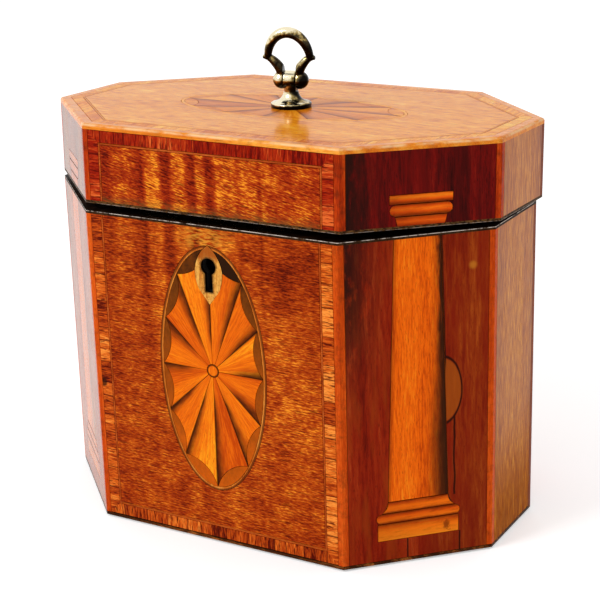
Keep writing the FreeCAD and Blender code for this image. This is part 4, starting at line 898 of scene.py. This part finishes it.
foil = finish_of("tea_foil")
creases = foil.clouds(6.0, 5.0, 0.6)
lead = foil.ramp(foil.clouds(14.0, 3.0), tones(LEAD_TONES))
dress(surface(foil, lead, creases, 0.42, bump=0.7, depth=0.6, Metallic=0.9), "foil_lining")

paper = finish_of("lid_paper")
fibres = paper.clouds(0.5, 4.0, 0.7)
foxing = paper.clouds(7.0, 4.0).step(0.55, 0.8)
colour = paper.mix(foxing * FOXED_SHARE, paper.ramp(fibres, tones(PAPER_TONES)), FOXED)
dress(surface(paper, colour, fibres, 0.9), "lid_paper")


# Lock, link plate, hinges and screws. Cast and rolled brass, filed flat, gone brown; the lock's
# inside and the link plate are painted near black as shade; its leaf spring is blued steel.

BRASS_BRIGHT, BRASS_BROWN = paint(206, 166, 92), paint(112, 78, 40)
LOCK_SHADE, LOCK_SHADE_BLACK = paint(16, 11, 7), paint(6, 4, 3)
STEEL_BRIGHT, STEEL_BLUE = paint(120, 126, 138), paint(52, 50, 60)


def metal(name, bright, dull, tarnish, **constants):
    """Filed metal, bright in places and dull in clouds; more tarnish means more of the dull."""
    filed = finish_of(name)
    x, y, z = filed.place()
    cloud = filed.clouds(2.2, 5.0, 0.62)
    file_marks = filed.noise(x / 0.12, y / 2.0, z / 0.4)
    colour = filed.mix(cloud.step(0.5 - tarnish, 1.0 - tarnish), bright, dull)
    return surface(
        filed, colour, file_marks + cloud * 2, cloud * 0.3 + 0.12, bump=0.15, **constants)


dress(
    metal("fittings_brass", BRASS_BRIGHT, BRASS_BROWN, 0.3, Metallic=1.0),
    "hinge_case_leaves", "hinge_lid_leaves", "hinge_pins", "case_screws", "lid_screws",
    "lock_selvedge", "lock_bolt", "handle_nut_and_washer")
dress(
    # Painted shade: the lock's case, cap and pin and the link plate are near black and dull.
    metal("brass_in_shade", LOCK_SHADE, LOCK_SHADE_BLACK, 0.4, IOR=1.05),
    "lock_case", "lock_cap", "lock_pin", "link_plate")
dress(metal("blued_steel", STEEL_BRIGHT, STEEL_BLUE, 0.3, Metallic=1.0), "lock_spring")


# Handle. Cast brass, worn bright on the grip and gone black in the hollows: a turned foot and post
# with a nut under the lid, and a bail that swings on a pin through the hub.

CASTING_GRAIN = 0.14
FETTLING, FETTLING_PASSES = 0.5, 6
HOLLOW_REACH, HOLLOW_SAMPLES = 2.5, 16
HANDLE_TONES = (
    (0.0, paint(8, 7, 6)), (0.34, paint(20, 17, 13)), (0.5, paint(70, 59, 40)),
    (0.62, paint(178, 152, 92)), (0.78, paint(246, 234, 200)),
)
GRIP_BRIGHT, GRIP_LOW, GRIP_HIGH = 0.14, 7.0, 3.0
POST_BRIGHT, POST_HALF, POST_RISE = 0.14, (1.6, 3.0), (10.0, 13.0)
FOOT_DIRT_AND_SHADE, FOOT_RISE = 0.5, (0.4, 1.2)

for name in ("handle_post", "handle_bail"):
    cast = nodes[name].modifiers.new("casting", "REMESH")
    cast.mode = "VOXEL"
    cast.voxel_size = CASTING_GRAIN * MM
    cast.use_smooth_shade = True
    fettled = nodes[name].modifiers.new("fettled", "SMOOTH")
    fettled.factor = FETTLING
    fettled.iterations = FETTLING_PASSES

brass = finish_of("handle_brass")
x, y, z = brass.place()
right, back, up = brass.facing()
hollow = brass.node(
    "AmbientOcclusion", {"only_local": True, "samples": HOLLOW_SAMPLES},
    {"Distance": HOLLOW_REACH * MM}, "AO")
cloud = brass.clouds(1.6, 5.0, 0.62)
pits = brass.clouds(0.4, 3.0, 0.6)
bail_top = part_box("handle_bail")[1].z / MM
above_lid = on_lid(y, z) - LID_TOP
grip = z.step(bail_top - GRIP_LOW, bail_top - GRIP_HIGH)
# The foot's lower rim is darkened: dirt, and painted shade where it meets the lid.
foot = 1 - above_lid.step(*FOOT_RISE)
post = (1 - abs(x).step(*POST_HALF)) * (1 - above_lid.step(*POST_RISE))
# Painted highlight and shade: lighter where faces look up, to the front and to the left, darker the
# other way; the hollows' darkening is patina.
rubbed = up * 0.5 - back * 0.28 - right * 0.2 + (hollow - 1) * 0.6 + cloud.swing(0.8) + 0.22
rubbed = rubbed + grip * GRIP_BRIGHT + post * POST_BRIGHT - foot * FOOT_DIRT_AND_SHADE
colour = brass.ramp(rubbed, HANDLE_TONES)
casting = surface(
    brass, colour, pits + cloud * 2, cloud * 0.16 + 0.06, bump=0.3, depth=0.06, Metallic=1.0)
dress(casting, "handle_post", "handle_bail", "handle_pin")


# Studio. A plain white floor, light from all round that is white behind the box and falls off
# overhead and towards the camera, and one large soft lamp from the front left; the camera stands
# to the right of the front and looks slightly down.

FLOOR_HALF = 3.0
FLOOR_WHITE, FLOOR_ROUGHNESS, FLOOR_GLOW = (0.9, 0.9, 0.9, 1.0), 0.9, 0.4
WORLD_FRONT, WORLD_OVERHEAD = 0.8, 0.7
AWAY_RIGHT, AWAY_BACK = -0.5, 0.87
LAMP_PLACE, LAMP_TARGET = Vector((-0.55, -0.95, 0.95)), Vector((0, 0, 0.06))
LAMP_SIDE, LAMP_POWER = 0.5, 7.0
CAMERA_PLACE = Vector((232.606, -401.752, 214.445)) * MM
CAMERA_TURN, CAMERA_DROP, CAMERA_ROLL = (math.radians(angle) for angle in (29.81, 18.33, -1.58))
SENSOR_WIDTH, IMAGE_SIDE, FOCAL_PIXELS = 36.0, 600, 1610.19
scene = bpy.context.scene


def seen(finish):
    """1 for rays from the camera, off gloss or through clear pieces, 0 for plain light."""
    rays = ("Is Camera Ray", "Is Glossy Ray", "Is Transmission Ray")
    camera_ray, *others = (finish.node("LightPath", {}, {}, ray) for ray in rays)
    return camera_ray.most(*others)


def grey(finish, level):
    return finish.node("CombineColor", {}, {0: level, 1: level, 2: level})


floor_mesh = bpy.data.meshes.new("studio_floor")
corners = [(-1, -1), (1, -1), (1, 1), (-1, 1)]
floor_mesh.from_pydata(
    [(right * FLOOR_HALF, back * FLOOR_HALF, 0) for right, back in corners], [], [(0, 1, 2, 3)])
floor = bpy.data.objects.new("studio_floor", floor_mesh)
scene.collection.objects.link(floor)
floor_paper = finish_of("studio_floor")
sheet = floor_paper.node("BsdfPrincipled", {}, {
    "Base Color": FLOOR_WHITE, "Roughness": FLOOR_ROUGHNESS, "Specular IOR Level": 0.0,
    "Emission Color": grey(floor_paper, seen(floor_paper) * FLOOR_GLOW), "Emission Strength": 1.0})
floor_paper.node("OutputMaterial", {}, {"Surface": sheet})
floor_mesh.materials.append(floor_paper.holder)

scene.world = bpy.data.worlds.new("studio")
sky = Finish(scene.world)
right, back, up = sky.axes(sky.node("TexCoord", {}, {}, "Generated"))
behind = (back * AWAY_BACK + right * AWAY_RIGHT).step(-0.5, 0.3)
overhead = up.step(0.3, 0.9)
light = behind * (1 - WORLD_FRONT) + WORLD_FRONT
light = light * (1 - overhead * (1 - WORLD_OVERHEAD))
shade = grey(sky, seen(sky).most(light))
backdrop = sky.node("Background", {}, {"Color": shade, "Strength": 1.0})
sky.node("OutputWorld", {}, {"Surface": backdrop})

lamp = bpy.data.lights.new("key_lamp", "AREA")
lamp.shape = "RECTANGLE"
lamp.size = lamp.size_y = LAMP_SIDE
lamp.energy = LAMP_POWER
stand = bpy.data.objects.new("key_lamp", lamp)
stand.location = LAMP_PLACE
stand.rotation_euler = (LAMP_TARGET - LAMP_PLACE).to_track_quat("-Z", "Y").to_euler()
scene.collection.objects.link(stand)

camera = bpy.data.cameras.new("camera")
camera.sensor_width = SENSOR_WIDTH
camera.lens = SENSOR_WIDTH * FOCAL_PIXELS / IMAGE_SIDE
tripod = bpy.data.objects.new("camera", camera)
tilt = Matrix.Rotation(math.pi / 2 - CAMERA_DROP, 4, "X") @ Matrix.Rotation(CAMERA_ROLL, 4, "Z")
turn = Matrix.Rotation(CAMERA_TURN, 4, "Z")
tripod.matrix_world = Matrix.Translation(CAMERA_PLACE) @ turn @ tilt
scene.collection.objects.link(tripod)
scene.camera = tripod
scene.view_settings.view_transform = "Standard"
